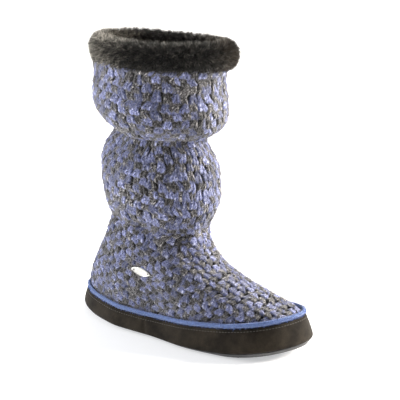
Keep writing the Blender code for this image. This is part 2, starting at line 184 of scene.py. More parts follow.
# Rows and columns of the knit's grid.  Its margin hangs behind the piping, where the
# knit is tucked in and flatter.
KNIT_COLUMNS = 552
FOOT_ROWS = 146
LOWER_ROWS = 108
UPPER_ROWS = 82
MARGIN_DROPS = (0.0045, 0.0030, 0.0015)
ANKLE_ROW = len(MARGIN_DROPS) + FOOT_ROWS - 1
TUCK_REACH = 0.006
TUCK_DEPTH = 0.0007
TUCK_RELIEF = 0.4

# Foot and folds join over this many rows.  The columns of each fold lean at the outer
# back, about a middle that is a share of the pinch's row.
JOINT_BLEND = 0.7
SKEW = 0.50
SKEW_ANGLE = math.radians(146.0)
SKEW_SPREAD = math.radians(38.0)
SKEW_MIDDLES = (0.5, 1.4)

# The cuff and the rim stand higher towards the toe, and the fur's edge is rolled up behind.
RIM_LIFT = 0.0088
HEM_LIFT = 0.0016
RIM_BLEND = 0.80
RIM_LAP = 0.0050
SECTION_EASE = (-0.03, -0.015, 0.0, 0.015, 0.03)
SHIFT_GAIN = 6

# Fur: strands on a skin that lies inside the collar's outline, with limits round the
# collar's section for both shares of it and for the place where strands begin to droop.
FUR_SKIN = 0.70
FUR_ROOT_DEPTH = 0.02
FUR_LENGTH = 0.0072
FUR_REACH = (0.65, 1.15)
FUR_SHORTEST = 0.55
FUR_UNEVEN = 0.12
FUR_WIDTH = 0.00042
FUR_STRANDS = 27000
FUR_STEPS = 3
FUR_OUTSIDE = (0.02, 0.40)
FUR_INSIDE = (0.40, 0.86)
FUR_DROOP = (0.06, 0.30)
FUR_CLUMPING = 0.30
FUR_STRAY = 0.22
FUR_RISE = 0.30
FUR_FALL = 0.25
FUR_SAG = 0.20

# Tone of the fur: patches, then painted light that pales the side towards the side
# lamp and a painted warm highlight on the side towards the key, with the cosines
# between which they fade in.
FUR_PATCHES = 0.35
FUR_PAINTED_LIGHT = 1.5
FUR_TONE_LIMIT = 2.7
FUR_PAINTED_LIGHT_ANGLE = math.radians(150.0)
FUR_PAINTED_LIGHT_FADE = (0.25, 0.95)
FUR_WARM_HIGHLIGHT_ANGLE = math.radians(-36.0)
FUR_WARM_HIGHLIGHT_FADE = (0.55, 1.0)

# Loose fibres on the wool and on the cord; reach and rise are shares of their length,
# the arc is in half turns round the cord.
WOOL_FIBRES = 34000
WOOL_FIBRE_LENGTH = 0.0030
WOOL_FIBRE_REACH = (0.5, 1.2)
WOOL_FIBRE_RISE = (0.05, 0.55)
WOOL_BARE_ROWS = (6, 8)
CORD_FIBRES = 7000
CORD_FIBRE_LENGTH = 0.0013
CORD_FIBRE_REACH = (0.3, 0.8)
CORD_FIBRE_ARC = (-0.5, 0.6)
CORD_FIBRE_STRAY = 0.5
CORD_FIBRE_SEAT = 0.94
FIBRE_WIDTH = 0.00024
FIBRE_STEPS = 2
STRAND_TAPER = 0.88
TAPER_POWER = 1.5

# Threads of suede and badge, and the slanting butt seam of the suede.
THREAD_PITCH = 0.0030
THREAD_LENGTH = 0.0021
THREAD_WIDTH = 0.0006
THREAD_DROP = 0.0024
SEAM_ANGLE = math.radians(99.5)
SEAM_LEVEL = 0.010
SEAM_SLOPE = math.radians(150.0)
SEAM_SPREAD = math.radians(0.9)
SEAM_DEPTH = 0.0011

# Steps round each piece's grid, along its bands and across its filled faces.
LINING_COLUMNS = 120
LINING_ROWS = (26, 50)
SKIN_COLUMNS = 180
SKIN_ROWS = 41
FOXING_COLUMNS = 480
FOXING_STEPS = 5
FOXING_EASING = 3
THREAD_PATH_STEPS = 1440
PIPING_COLUMNS = 520
PIPING_SIDES = 18
SOLE_COLUMNS = 360
FOOTBED_COLUMNS = 240
PAD_COLUMNS = 72
STUD_PATH_STEPS = 720
BADGE_COLUMNS = 64
BADGE_STEPS = 2
BADGE_FILL = 6
SOLE_STEPS = 3
FINE_FILL = 24
COARSE_FILL = 12
HIDDEN_FILL = 10

# Camera and light.  The room's strength rises from dim to bright between two cosines of
# the angle to its back wall.
AIM = Vector((0.067, 0.0, 0.140))
CAMERA_PLACE = Vector((0.6365, -0.7839, 0.3875))
CAMERA_TURN = (math.radians(1.81), math.radians(-0.70))
FOCAL_LENGTH = 91.6
SENSOR_WIDTH = 36.0
BACK_WALL = (-0.588, 0.809, 0.0)
ROOM_TURN = (-0.35, 0.65)
ROOM_DIM = 0.20
ROOM_BRIGHT = 1.15
COOL_WHITE = (0.97, 0.98, 1.0)
KEY_FROM = (0.60, 0.80, 0.50)
KEY_POWER = 12.0
KEY_SPREAD = math.radians(25.0)
KEY_COLOUR = (1.0, 0.95, 0.88)
LAMP_PLACE = (-0.75, -0.55, 0.45)
LAMP_SIZE = 0.6
LAMP_POWER = 12.0
FLOOR_REACH = 12.0
FLOOR_GLOW = 0.47

# Distances that count as nothing: doubled corners, slivers and rounding.
MERGE_REACH = 1e-6
SLIVER_REACH = 1e-7
ROUNDING = 1e-9

# Plan: shares of LENGTH, then centre line and half width as shares of BALL_HALF_WIDTH.
PlanRow = namedtuple("PlanRow", "along centre half_width")
PLAN = (
    PlanRow(0.00, 0.08, 0.68),
    PlanRow(0.14, -0.03, 0.74),
    PlanRow(0.29, -0.155, 0.82),
    PlanRow(0.44, -0.17, 0.825),
    PlanRow(0.59, -0.14, 0.94),
    PlanRow(0.72, -0.035, 1.00),
    PlanRow(0.84, 0.05, 0.995),
    PlanRow(0.93, 0.105, 0.96),
    PlanRow(1.00, 0.21, 0.88),
)

# Side lines: share of LENGTH; widest line and top of the foxing as shares of
# FOXING_TOE_TOP; inset of the top as a share of the toe's inset; how far the suede
# turns under towards the sole's edge.
SideRow = namedtuple("SideRow", "along widest top inset turn_under")
TOP_INSET = 0.0079
SIDE = (
    SideRow(0.00, 0.225, 0.63, 0.51, 0.78),
    SideRow(0.38, 0.100, 0.52, 0.76, 0.55),
    SideRow(0.68, 0.140, 0.68, 0.90, 0.35),
    SideRow(1.00, 0.410, 1.00, 1.00, 0.25),
)

# Underside: share of LENGTH and height as a share of TOE_SPRING.
UnderRow = namedtuple("UnderRow", "along rise")
UNDERSIDE = (
    UnderRow(0.00, 0.0),
    UnderRow(0.26, 0.0),
    UnderRow(0.40, 0.09),
    UnderRow(0.54, 0.0),
    UnderRow(0.76, 0.0),
    UnderRow(1.00, 1.0),
)

# Shaft rings: height as a share of SHAFT_HEIGHT, the rest as shares of SHAFT_RADIUS.
RingRow = namedtuple("RingRow", "height half_length half_width drift")
RINGS = (
    RingRow(0.418, 0.785, 0.615, 0.015),
    RingRow(0.441, 0.845, 0.670, 0.010),
    RingRow(0.477, 0.900, 0.740, 0.010),
    RingRow(0.555, 0.945, 0.785, 0.000),
    RingRow(0.625, 0.940, 0.785, -0.015),
    RingRow(0.707, 0.825, 0.690, -0.015),
    RingRow(0.730, 0.770, 0.655, -0.010),
    RingRow(0.754, 0.715, 0.625, 0.010),
    RingRow(0.777, 0.830, 0.745, 0.000),
    RingRow(0.800, 0.930, 0.845, 0.005),
    RingRow(0.832, 1.000, 0.925, 0.000),
    RingRow(0.879, 1.030, 0.955, -0.015),
    RingRow(0.961, 0.990, 0.925, -0.020),
    RingRow(1.000, 1.010, 0.945, -0.010),
)

# Deeper creases at the pinches: turn from the toe, height as a share of SHAFT_HEIGHT,
# then depth and lift as shares of GATHER_DEPTH.
CREASE_SPREAD = math.radians(38.0)
CreaseRow = namedtuple("CreaseRow", "degrees height depth lift")
CREASES = (
    CreaseRow(146, 0.754, 2.3, 2.5),
    CreaseRow(-34, 0.754, 1.5, 1.6),
    CreaseRow(-34, 0.450, 2.6, 2.2),
)

# Foot columns: turn from the toe through the outer side, then the pulls of the
# curve as shares of ANKLE_HEIGHT: inward and up at the foot, out and down at the
# ankle, and the bow of the side towards the middle.
ColumnRow = namedtuple("ColumnRow", "degrees inward up out down bow")
COLUMNS = (
    ColumnRow(0, 0.39, 0.15, 0.05, 0.37, 0.00),
    ColumnRow(30, 0.33, 0.17, 0.05, 0.345, 0.03),
    ColumnRow(45, 0.24, 0.19, 0.05, 0.32, 0.045),
    ColumnRow(60, 0.13, 0.215, 0.05, 0.29, 0.045),
    ColumnRow(90, -0.03, 0.28, 0.055, 0.25, 0.00),
    ColumnRow(120, -0.045, 0.28, 0.065, 0.24, 0.00),
    ColumnRow(150, -0.03, 0.26, 0.065, 0.26, 0.00),
    ColumnRow(180, -0.02, 0.26, 0.075, 0.27, 0.00),
    ColumnRow(210, -0.03, 0.26, 0.065, 0.26, 0.00),
    ColumnRow(240, -0.045, 0.28, 0.065, 0.24, 0.00),
    ColumnRow(270, -0.03, 0.26, 0.035, 0.25, 0.03),
    ColumnRow(300, 0.13, 0.19, -0.01, 0.32, 0.095),
    ColumnRow(315, 0.24, 0.17, -0.01, 0.345, 0.10),
    ColumnRow(330, 0.33, 0.16, 0.00, 0.365, 0.065),
    ColumnRow(360, 0.39, 0.15, 0.05, 0.37, 0.00),
)

# Edges of the badge and of a tread pad: scale of the outline, and level as a share of
# the plate's thickness or of TREAD_DEPTH.
EdgeRing = namedtuple("EdgeRing", "scale level")
BADGE_RIM = (
    EdgeRing(0.97, 0.0),
    EdgeRing(1.00, 0.3),
    EdgeRing(1.00, 0.7),
    EdgeRing(0.94, 1.0),
    EdgeRing(0.86, 1.0),
    EdgeRing(0.82, 0.8),
)
PAD_EDGE = (
    EdgeRing(1.0, 1.3),
    EdgeRing(1.0, 0.25),
    EdgeRing(0.985, 0.0),
)

# Collar section: steps out from the shaft's face and up from its rim.
SectionPoint = namedtuple("SectionPoint", "out up")
COLLAR_SECTION = (
    SectionPoint(0.0010, -0.0024),
    SectionPoint(0.0036, -0.0026),
    SectionPoint(0.0062, 0.0025),
    SectionPoint(0.0068, 0.0100),
    SectionPoint(0.0058, 0.0185),
    SectionPoint(0.0022, 0.0262),
    SectionPoint(-0.0040, 0.0298),
    SectionPoint(-0.0105, 0.0282),
    SectionPoint(-0.0155, 0.0222),
    SectionPoint(-0.0172, 0.0130),
    SectionPoint(-0.0160, 0.0050),
    SectionPoint(-0.0120, 0.0006),
    SectionPoint(0.0008, 0.0006),
)

# Bends of the knit's columns and rows: size in stitches, turn for each row and start.
BendRow = namedtuple("BendRow", "size per_row start")
COLUMN_BENDS = (
    BendRow(0.14, 1.9, 0.0),
    BendRow(0.08, 3.3, -0.5),
)
ROW_BENDS = (
    BendRow(0.12, 0.8, 0.0),
    BendRow(0.10, -0.6, 1.0),
)

# Waves over the fur: how often round the cuff and along its section, and their start.
WaveRow = namedtuple("WaveRow", "around along start")
CLUMP_WAVES = (
    WaveRow(31, 40, 0.0),
    WaveRow(37, -52, 1.0),
    WaveRow(43, 61, 2.0),
)
LENGTH_WAVES = (
    WaveRow(13, 9, 0.0),
    WaveRow(7, 0, 1.0),
)
TONE_WAVES = (
    WaveRow(23, 30, 0.0),
    WaveRow(17, -25, 1.0),
)

# Colours along the streaks of the marled yarn.
Stop = namedtuple("Stop", "position colour")
BLUE_YARN = (
    Stop(0.36, (0.018, 0.019, 0.032)),
    Stop(0.46, (0.090, 0.100, 0.195)),
    Stop(0.57, (0.175, 0.197, 0.375)),
    Stop(0.66, (0.52, 0.53, 0.62)),
)
DARK_YARN = (
    Stop(0.36, (0.008, 0.008, 0.008)),
    Stop(0.48, (0.034, 0.032, 0.034)),
    Stop(0.57, (0.098, 0.093, 0.098)),
    Stop(0.66, (0.52, 0.50, 0.50)),
)


def read_table(rows, field, at):
    """Return the smooth, never overshooting curve through one column of a table."""
    xs = np.array([row[0] for row in rows], dtype=float)
    ys = np.array([getattr(row, field) for row in rows], dtype=float)
    at = np.atleast_1d(np.asarray(at, dtype=float))
    step = np.diff(xs)
    slope = np.diff(ys) / step
    tangent = np.zeros(len(xs))
    tangent[0] = slope[0]
    tangent[-1] = slope[-1]
    for i in range(1, len(xs) - 1):
        if slope[i - 1] * slope[i] > 0:
            before = 2 * step[i] + step[i - 1]
            after = step[i] + 2 * step[i - 1]
            tangent[i] = (before + after) / (before / slope[i - 1] + after / slope[i])
    i = np.clip(np.searchsorted(xs, at) - 1, 0, len(xs) - 2)
    t = np.clip((at - xs[i]) / step[i], 0, 1)
    value = (2 * t**3 - 3 * t**2 + 1) * ys[i]
    value += (t**3 - 2 * t**2 + t) * step[i] * tangent[i]
    value += (3 * t**2 - 2 * t**3) * ys[i + 1]
    value += (t**3 - t**2) * step[i] * tangent[i + 1]
    return value


def turn(count):
    """Return angles once round, from the toe over the outer side, the first one repeated."""
    return np.linspace(0, 2 * math.pi, count + 1)


def plan_sizes(share):
    """Return the centre line and half width of the sole at shares of its length."""
    centre = read_table(PLAN, "centre", share) * BALL_HALF_WIDTH
    half_width = read_table(PLAN, "half_width", share) * BALL_HALF_WIDTH
    heel = np.clip(1 - share / HEEL_ROUND, 0, 1)
    toe = np.clip((share - (1 - TOE_ROUND)) / TOE_ROUND, 0, 1)
    rounding = np.sqrt(1 - heel**2) * np.sqrt(1 - toe**TOE_POWER)
    return centre, half_width * rounding


def length_share(angles):
    """Return how far along the sole each angle of the plan lies."""
    return (1 + np.cos(angles)) / 2


def plan_loop(angles):
    """Return plan points on the foxing's widest line."""
    share = length_share(angles)
    centre, half_width = plan_sizes(share)
    side = np.where(np.mod(angles, 2 * math.pi) <= math.pi, -1.0, 1.0)
    return np.stack([HEEL_X + LENGTH * share, centre + side * half_width], axis=-1)


def inset(angles, distance):
    """Return the widest line moved inward by a distance for each angle."""
    points = plan_loop(angles)
    along = plan_loop(angles + PLAN_STEP) - plan_loop(angles - PLAN_STEP)
    along /= np.linalg.norm(along, axis=1)[:, None]
    outward = np.stack([-along[:, 1], along[:, 0]], axis=-1)
    return points - outward * np.broadcast_to(distance, len(points))[:, None]


def with_height(points, height):
    """Lift plan points to a height for each point."""
    return np.column_stack([points, np.broadcast_to(height, len(points))])


def underside(share):
    """Return the height of the tread's lowest faces."""
    return read_table(UNDERSIDE, "rise", share) * TOE_SPRING


def footbed_height(share):
    """Return the height of the footbed's top."""
    return underside(share) + TREAD_DEPTH + OUTSOLE_THICKNESS + FOOTBED_THICKNESS


def foxing_top(share):
    """Return height and inset of the foxing's upper edge."""
    height = read_table(SIDE, "top", share) * FOXING_TOE_TOP
    return height, read_table(SIDE, "inset", share) * TOP_INSET


def foxing_widest(share):
    """Return the height of the foxing's widest line."""
    return read_table(SIDE, "widest", share) * FOXING_TOE_TOP


def foxing_hem(share):
    """Return height and inset of the suede's lower edge, turned in under the widest line."""
    reach = read_table(SIDE, "turn_under", share)
    widest = foxing_widest(share)
    base = underside(share) + TREAD_DEPTH
    return widest + (base - widest) * reach, SOLE_EDGE_INSET * reach


def smooth_step(low, high, at):
    """Return 0 below low, 1 above high and a smooth change between."""
    t = np.clip((at - low) / (high - low), 0, 1)
    return t * t * (3 - 2 * t)


def between(limits, share):
    """Return the value at a share of the way between two limits."""
    low, high = limits
    return low + (high - low) * share


def unit(vectors):
    """Return vectors of length one."""
    return vectors / np.linalg.norm(vectors, axis=-1, keepdims=True)


def ring(angles, height, half_sizes, drift):
    """Return tilted rings of the shaft."""
    half_length, half_width = half_sizes
    x = half_length * np.cos(angles) + drift
    y = -half_width * np.sin(angles)
    z = height - RING_TILT * x - RING_LEAN * y
    return np.stack([AXIS_X + x, AXIS_Y + y, z], axis=-1)


def gathers(angles, heights):
    """Return how far the knit is drawn in by the folds near both pinches."""
    depth = 0.0
    for number, pinch in enumerate((ANKLE_HEIGHT, PINCH_HEIGHT)):
        near = np.exp(-(((heights - pinch) / GATHER_SPREAD) ** 2))
        fine = np.cos(GATHER_COUNT * angles + number)
        broad = BROAD_GATHER * np.cos(BROAD_GATHER_COUNT * angles + 2 * number)
        depth = depth + near * GATHER_DEPTH * (fine + broad)
    return depth


def rim_lift(angles):
    """Return how much higher the rim stands at each angle."""
    return RIM_LIFT * length_share(angles) ** 2


def shaft_face(angles, heights):
    """Return the shaft's outer face, a row of points for each height."""
    heights = np.atleast_1d(heights)[:, None]
    share = heights / SHAFT_HEIGHT
    half_length = read_table(RINGS, "half_length", share) * SHAFT_RADIUS
    half_width = read_table(RINGS, "half_width", share) * SHAFT_RADIUS
    drift = read_table(RINGS, "drift", share) * SHAFT_RADIUS
    drawn = gathers(angles, heights)
    raised = smooth_step(RIM_BLEND, 1.0, share) * rim_lift(angles)
    for crease in CREASES:
        away = np.angle(np.exp(1j * (angles - math.radians(crease.degrees))))
        level = (heights - crease.height * SHAFT_HEIGHT) / GATHER_SPREAD
        near = GATHER_DEPTH * np.exp(-((away / CREASE_SPREAD) ** 2))
        drawn = drawn + crease.depth * near * np.exp(-(level**2))
        raised = raised + crease.lift * near * np.exp(-((level / LIFT_SPREAD) ** 2))
    wander = np.exp(-(((heights - PINCH_HEIGHT) / (LIFT_SPREAD * GATHER_SPREAD)) ** 2))
    raised = raised + PINCH_WANDER * wander * np.sin(2 * angles + WANDER_START)
    points = ring(angles, heights, (half_length - drawn, half_width - drawn), drift)
    points[:, :, 2] += raised
    return points


def feather_line(angles):
    """Return the knit's outer face where it comes out from behind the piping."""
    share = length_share(angles)
    height, top_inset = foxing_top(share)
    reach = top_inset + FOXING_THICKNESS + UPPER_CLEARANCE
    return with_height(inset(angles, reach), height + PIPING_HEIGHT / 2)


def foot_face(angles, shares):
    """Return the foot's outer face, a row of points for each share of the way up."""
    start = feather_line(angles)
    end = shaft_face(angles, ANKLE_HEIGHT)[0]
    degrees = np.degrees(angles)
    pull = {}
    for field in ColumnRow._fields[1:]:
        pull[field] = read_table(COLUMNS, field, degrees) * ANKLE_HEIGHT
    heading = unit(end[:, :2] - start[:, :2])
    radial = np.stack([np.cos(angles), -np.sin(angles)], axis=-1)
    bow = np.where(angles <= math.pi, 1.0, -1.0) * pull["bow"]
    first = start + np.column_stack([heading * pull["inward"][:, None], pull["up"]])
    second = end + np.column_stack([radial * pull["out"][:, None], -pull["down"]])
    first[:, 1] += bow
    second[:, 1] += bow
    t = np.atleast_1d(shares)[:, None, None]
    curve = (1 - t) ** 3 * start + 3 * (1 - t) ** 2 * t * first
    return curve + 3 * (1 - t) * t**2 * second + t**3 * end


def grid_normals(points):
    """Return outward normals of rows of points that close on themselves."""
    ahead = np.roll(points[:, :-1], -1, axis=1)
    behind = np.roll(points[:, :-1], 1, axis=1)
    around = ahead - behind
    around = np.concatenate([around, around[:, :1]], axis=1)
    upward = np.gradient(points, axis=0)
    return unit(np.cross(upward, around))


def flatten(points, start):
    """Spread a curved grid flat with little stretch, from a first guess, as complex numbers."""
    number = np.arange(start.size).reshape(start.shape)
    lower = np.stack([number[:-1, :-1], number[:-1, 1:], number[1:, 1:]], axis=-1)
    upper = np.stack([number[:-1, :-1], number[1:, 1:], number[1:, :-1]], axis=-1)
    corners = np.concatenate([lower.reshape(-1, 3), upper.reshape(-1, 3)])
    place = points.reshape(-1, 3)[corners]
    base = place[:, 1] - place[:, 0]
    side = place[:, 2] - place[:, 0]
    length = np.linalg.norm(base, axis=1)
    reach = (side * base).sum(axis=1) / length
    rise = np.sqrt((side**2).sum(axis=1) - reach**2)
    local = np.stack([0 * length, length, reach + 1j * rise], axis=1)
    edges = np.roll(local, -1, axis=1) - local
    ends = np.roll(corners, -1, axis=1)
    matrix = np.zeros((edges.size + 1, start.size))
    line = np.arange(edges.size)
    matrix[line, ends.ravel()] = 1.0
    matrix[line, corners.ravel()] = -1.0
    matrix[-1, -1] = 1.0
    solver = np.linalg.inv(matrix.T @ matrix) @ matrix.T
    spread = start.ravel()
    for _ in range(FLATTEN_TURNS):
        now = spread[ends] - spread[corners]
        heading = (now * edges.conj()).sum(axis=1)
        heading /= np.abs(heading)
        goal = (edges * heading[:, None]).ravel()
        spread = solver @ np.append(goal, spread[-1])
    return spread.reshape(start.shape)


def foot_cloth(angles, shares):
    """Return the foot's cloth coordinates in stitches, each half spread from the ankle's front."""
    coarse_shares = np.linspace(0, 1, COARSE_ROWS)
    cloth = np.empty((len(shares), len(angles)), dtype=complex)
    for first, sign in ((0.0, -1.0), (math.pi, 1.0)):
        coarse_angles = np.linspace(first, first + math.pi, COARSE_COLUMNS)
        points = foot_face(coarse_angles, coarse_shares)
        flat = flatten(points, sign * points[:, :, 0] + 1j * points[:, :, 2])
        ridge = flat[-1, 0] if first == 0.0 else flat[-1, -1]
        turned = (flat - ridge) * np.exp(sign * 1j * FOOT_TURN) / FOOT_STITCH
        tall = np.array([np.interp(shares, coarse_shares, line) for line in turned.T]).T
        inside = (angles >= first) & (angles <= first + math.pi + ROUNDING)
        for row, line in enumerate(tall):
            cloth[row, inside] = np.interp(angles[inside], coarse_angles, line)
    return cloth.real, cloth.imag


def shaft_rows(heights):
    """Return how many rows of stitches lie between the ankle and each height."""
    fine = np.linspace(ANKLE_HEIGHT, SHAFT_HEIGHT + RIM_LAP, ROW_SAMPLES)
    radius = read_table(RINGS, "half_length", fine / SHAFT_HEIGHT) * SHAFT_RADIUS
    run = np.hypot(np.gradient(fine), np.gradient(radius))
    travelled = np.cumsum(run) - run[0]
    return np.interp(heights, fine, travelled) / ROW_PITCH


def scatter(column, row, salt):
    """Return a fixed random number from 0 to 1 for each stitch."""
    by_column, by_row, by_salt = SCATTER_FACTORS
    mixed = np.sin(column * by_column + row * by_row + salt * by_salt) * SCATTER_SPREAD
    return mixed - np.floor(mixed)


def bend(places, v, rows, swells):
    """Return cloth coordinates bent by a table's rows, each with its own swell."""
    for row, swell in zip(rows, swells):
        places = places + row.size * np.sin(row.per_row * v + swell + row.start)
    return places


def wobble(u, v, around):
    """Return cloth coordinates bent a little, as hand knitting is."""
    if around:
        swell = 2 * math.pi * SWELLS_ROUND * u / around
        slow = 2 * math.pi * SLOW_SWELLS_ROUND * u / around
    else:
        swell = FOOT_SWELL * u
        slow = SLOW_FOOT_SWELL * u
    return bend(u, v, COLUMN_BENDS, (slow, 0.0)), bend(v, v, ROW_BENDS, (swell, slow))


def leg(u, v, top, foot, size):
    """Return the height of one plump leg, and the places along it and off its middle."""
    across = foot[0] - top[0]
    down = foot[1] - top[1]
    length = np.hypot(across, down)
    along = ((u - top[0]) * across + (v - top[1]) * down) / length**2
    along = np.clip(along, 0, 1)
    off = ((u - top[0]) * down - (v - top[1]) * across) / length
    gap = np.hypot(u - top[0] - along * across, v - top[1] - along * down)
    radius = LEG_RADIUS * size * between(LEG_GROWTH, along)
    plump = np.sqrt(np.clip(1 - (gap / radius) ** 2, 0, 1))
    return plump * between(LEG_HEIGHT, along), along, off / LEG_RADIUS


def stitches(u, v, around=0):
    """Return relief, blueness, tone and streak coordinates of the knit.

    The places are cloth coordinates in stitches.  Each stitch has two plump legs
    that spread downward and end over the row below.
    """
    u, v = wobble(u, v, around)
    random = np.random.default_rng(5)
    relief = np.zeros_like(u)
    hairy = np.zeros_like(u)
    chosen = [np.zeros_like(u) for _ in range(5)]
    steps = [(column, row) for column in (-1, 0, 1) for row in (-1, 0, 1)]
    for column_step, row_step in steps:
        column = np.floor(u) + column_step
        row = np.floor(v) + row_step
        kind = np.mod(column, around) if around else column
        size = between(STITCH_SIZE, scatter(kind, row, 1))
        sway, aside, lift = (STITCH_SWAY * (scatter(kind, row, salt) - 0.5) for salt in (4, 7, 8))
        rise = between(STITCH_RISE, scatter(kind, row, 5))
        odd = scatter(kind, row, 6)
        tone = scatter(kind, row, 3)
        checker = np.mod(column + row, 2)
        for side in (-1, 1):
            top = (column + 0.5 + side * LEG_TOP + aside + sway, row + LEG_START + lift)
            drop = LEG_DROP * scatter(kind, row, 2 + side)
            foot = (column + 0.5 + side * LEG_FOOT + aside - sway, row + LEG_END + lift + drop)
            height, along, off = leg(u, v, top, foot, size)
            height = height * rise
            relief = np.maximum(relief, height)
            swapped = (odd < ODD_STITCHES) | ((odd > 1 - ODD_LEGS) & (side > 0))
            blue = np.where(swapped, 1 - checker, checker)
            hair = random.uniform(-KNIT_HAIR, KNIT_HAIR, height.shape)
            covered = np.where(height > 0, height + hair + BLUE_SPREAD * blue, 0)
            higher = covered > hairy
            hairy = np.where(higher, covered, hairy)
            fields = (blue, tone, off, along, tone + 0.5 * side)
            chosen = [np.where(higher, new, old) for new, old in zip(fields, chosen)]
    blue, tone, off, along, seed = chosen
    slant = off * STREAK_SLANT[0] + along * STREAK_SLANT[1]
    streak = np.stack([slant, along * STREAK_RUN, seed * STREAK_STEP], axis=-1)
    return relief, blue, tone, streak


def new_sheet(mesh_data, points):
    """Add a grid of quads whose corners are given as rows of points."""
    rows, columns = points.shape[:2]
    made = bmesh.ops.create_grid(mesh_data, x_segments=columns - 1, y_segments=rows - 1, size=1.0)
    for vert in made["verts"]:
        column = round((vert.co.x + 1) / 2 * (columns - 1))
        row = round((vert.co.y + 1) / 2 * (rows - 1))
        vert.co = points[row, column]


def add_object(name, data):
    """Return a new object in the scene, which shows a mesh, a lamp or a camera."""
    item = bpy.data.objects.new(name, data)
    bpy.context.scene.collection.objects.link(item)
    return item


def finish_mesh(name, mesh_data, material, smooth=True):
    """Merge doubled points, turn the faces outward and link the object."""
    bmesh.ops.remove_doubles(mesh_data, verts=mesh_data.verts[:], dist=MERGE_REACH)
    bmesh.ops.dissolve_degenerate(mesh_data, edges=mesh_data.edges[:], dist=SLIVER_REACH)
    bmesh.ops.recalc_face_normals(mesh_data, faces=mesh_data.faces[:])
    mesh = bpy.data.meshes.new(name)
    mesh_data.to_mesh(mesh)
    mesh_data.free()
    mesh.materials.append(material)
    if smooth:
        mesh.shade_smooth()
    else:
        mesh.shade_flat()
    return add_object(name, mesh)


def belongs(piece, node):
    """Let a piece ride on the boot and stand for a CAD node, which is hidden."""
    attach(piece, "root")
    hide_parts(node)


def sheet_piece(name, points, material, node):
    """Build a piece of one sheet, whose corners are given as rows of points."""
    mesh_data = bmesh.new()
    new_sheet(mesh_data, points)
    belongs(finish_mesh(name, mesh_data, material), node)


def new_material(name, roughness, sheen=0.0):
    """Return a new material with its node tree and shader."""
    material = bpy.data.materials.new(name)
    material.use_nodes = True
    shader = material.node_tree.nodes["Principled BSDF"]
    shader.inputs["Roughness"].default_value = roughness
    shader.inputs["Sheen Weight"].default_value = sheen
    return material, material.node_tree, shader


def add_node(tree, kind, inputs=None, **settings):
    """Add a node, set its properties and set or link its inputs."""
    node = tree.nodes.new(kind)
    for name, value in settings.items():
        setattr(node, name, value)
    for name, value in (inputs or {}).items():
        if isinstance(value, bpy.types.NodeSocket):
            tree.links.new(value, node.inputs[name])
        else:
            node.inputs[name].default_value = value
    return node


def noise(tree, scale, detail=2.0, roughness=0.5):
    """Return noise at a scale in cycles a metre, on the object's own coordinates."""
    place = add_node(tree, "ShaderNodeTexCoord").outputs["Object"]
    inputs = {"Vector": place, "Scale": scale, "Detail": detail, "Roughness": roughness}
    return add_node(tree, "ShaderNodeTexNoise", inputs).outputs["Fac"]


def painted_parts(tree, name):
    """Return the three parts of a colour that is stored at each vertex."""
    layer = add_node(tree, "ShaderNodeAttribute", attribute_name=name)
    parts = add_node(tree, "ShaderNodeSeparateColor", {"Color": layer.outputs["Color"]})
    return [parts.outputs[part] for part in ("Red", "Green", "Blue")]


def ramp(tree, value, *stops):
    """Return colours read from a value between stops of position and colour."""
    node = add_node(tree, "ShaderNodeValToRGB", {"Fac": value})
    while len(node.color_ramp.elements) < len(stops):
        node.color_ramp.elements.new(0.5)
    for element, (position, colour) in zip(node.color_ramp.elements, stops):
        element.position = position
        element.color = (*colour, 1.0)
    return node.outputs["Color"]


def mix(tree, factor, first, second, mode="MIX"):
    """Return two colours mixed by a factor."""
    node = add_node(tree, "ShaderNodeMix", data_type="RGBA", blend_type=mode)
    for index, value in ((0, factor), (6, first), (7, second)):
        if isinstance(value, bpy.types.NodeSocket):
            tree.links.new(value, node.inputs[index])
        elif index:
            node.inputs[index].default_value = (*value, 1.0)
        else:
            node.inputs[index].default_value = value
    return node.outputs[2]


def multiply(tree, first, second):
    """Return the product of two colours."""
    return mix(tree, 1.0, first, second, "MULTIPLY")


def bump(tree, shader, height, strength, distance):
    """Add a bump from a height to a shader."""
    inputs = {"Height": height, "Strength": strength, "Distance": distance}
    node = add_node(tree, "ShaderNodeBump", inputs)
    tree.links.new(node.outputs["Normal"], shader.inputs["Normal"])


def grey(level):
    """Return an even grey."""
    return (level, level, level)


def knit_material():
    """Return marled blue and charcoal wool, with painted shade in the hollows between stitches and a
    little painted highlight on their tops.
    """
    material, tree, shader = new_material("knitted wool", roughness=0.95, sheen=0.40)
    shader.inputs["Sheen Roughness"].default_value = 0.5
    shader.inputs["Specular IOR Level"].default_value = 0.2
    blueness, tone, relief = painted_parts(tree, "yarn")
    place = add_node(tree, "ShaderNodeAttribute", attribute_name="streak").outputs["Vector"]
    strands = {"Vector": place, "Scale": 1.35, "Detail": 3.0, "Roughness": 0.65}
    streak = add_node(tree, "ShaderNodeTexNoise", strands).outputs["Fac"]
    charcoal = ramp(tree, streak, *DARK_YARN)
    colour = mix(tree, blueness, charcoal, ramp(tree, streak, *BLUE_YARN))
    shade = ramp(tree, tone, (0.0, grey(0.55)), (1.0, grey(1.38)))
    colour = multiply(tree, colour, shade)
    # Painted shade and highlight: the colour darkens where the relief is low and brightens a little
    # on the stitches' tops.
    hollow_shade_levels = ((0.0, 0.08), (0.35, 0.46), (0.62, 0.98), (1.0, 1.18))
    painted_hollow_shade = ramp(tree, relief, *((height, grey(level)) for height, level in hollow_shade_levels))
    colour = multiply(tree, colour, painted_hollow_shade)
    tree.links.new(colour, shader.inputs["Base Color"])
    bump(tree, shader, streak, strength=0.8, distance=0.0014)
    return material


def plush_material(name, dark, light, scale):
    """Return a soft pile with painted shade, darker in its hollows."""
    material, tree, shader = new_material(name, roughness=0.95, sheen=0.3)
    pile = noise(tree, scale, detail=4.0, roughness=0.65)
    # Painted shade: the noise that drives the bump also darkens the pile where it is low.
    colour = ramp(tree, pile, (0.3, dark), (0.7, light))
    tree.links.new(colour, shader.inputs["Base Color"])
    bump(tree, shader, pile, strength=0.8, distance=0.0012)
    return material


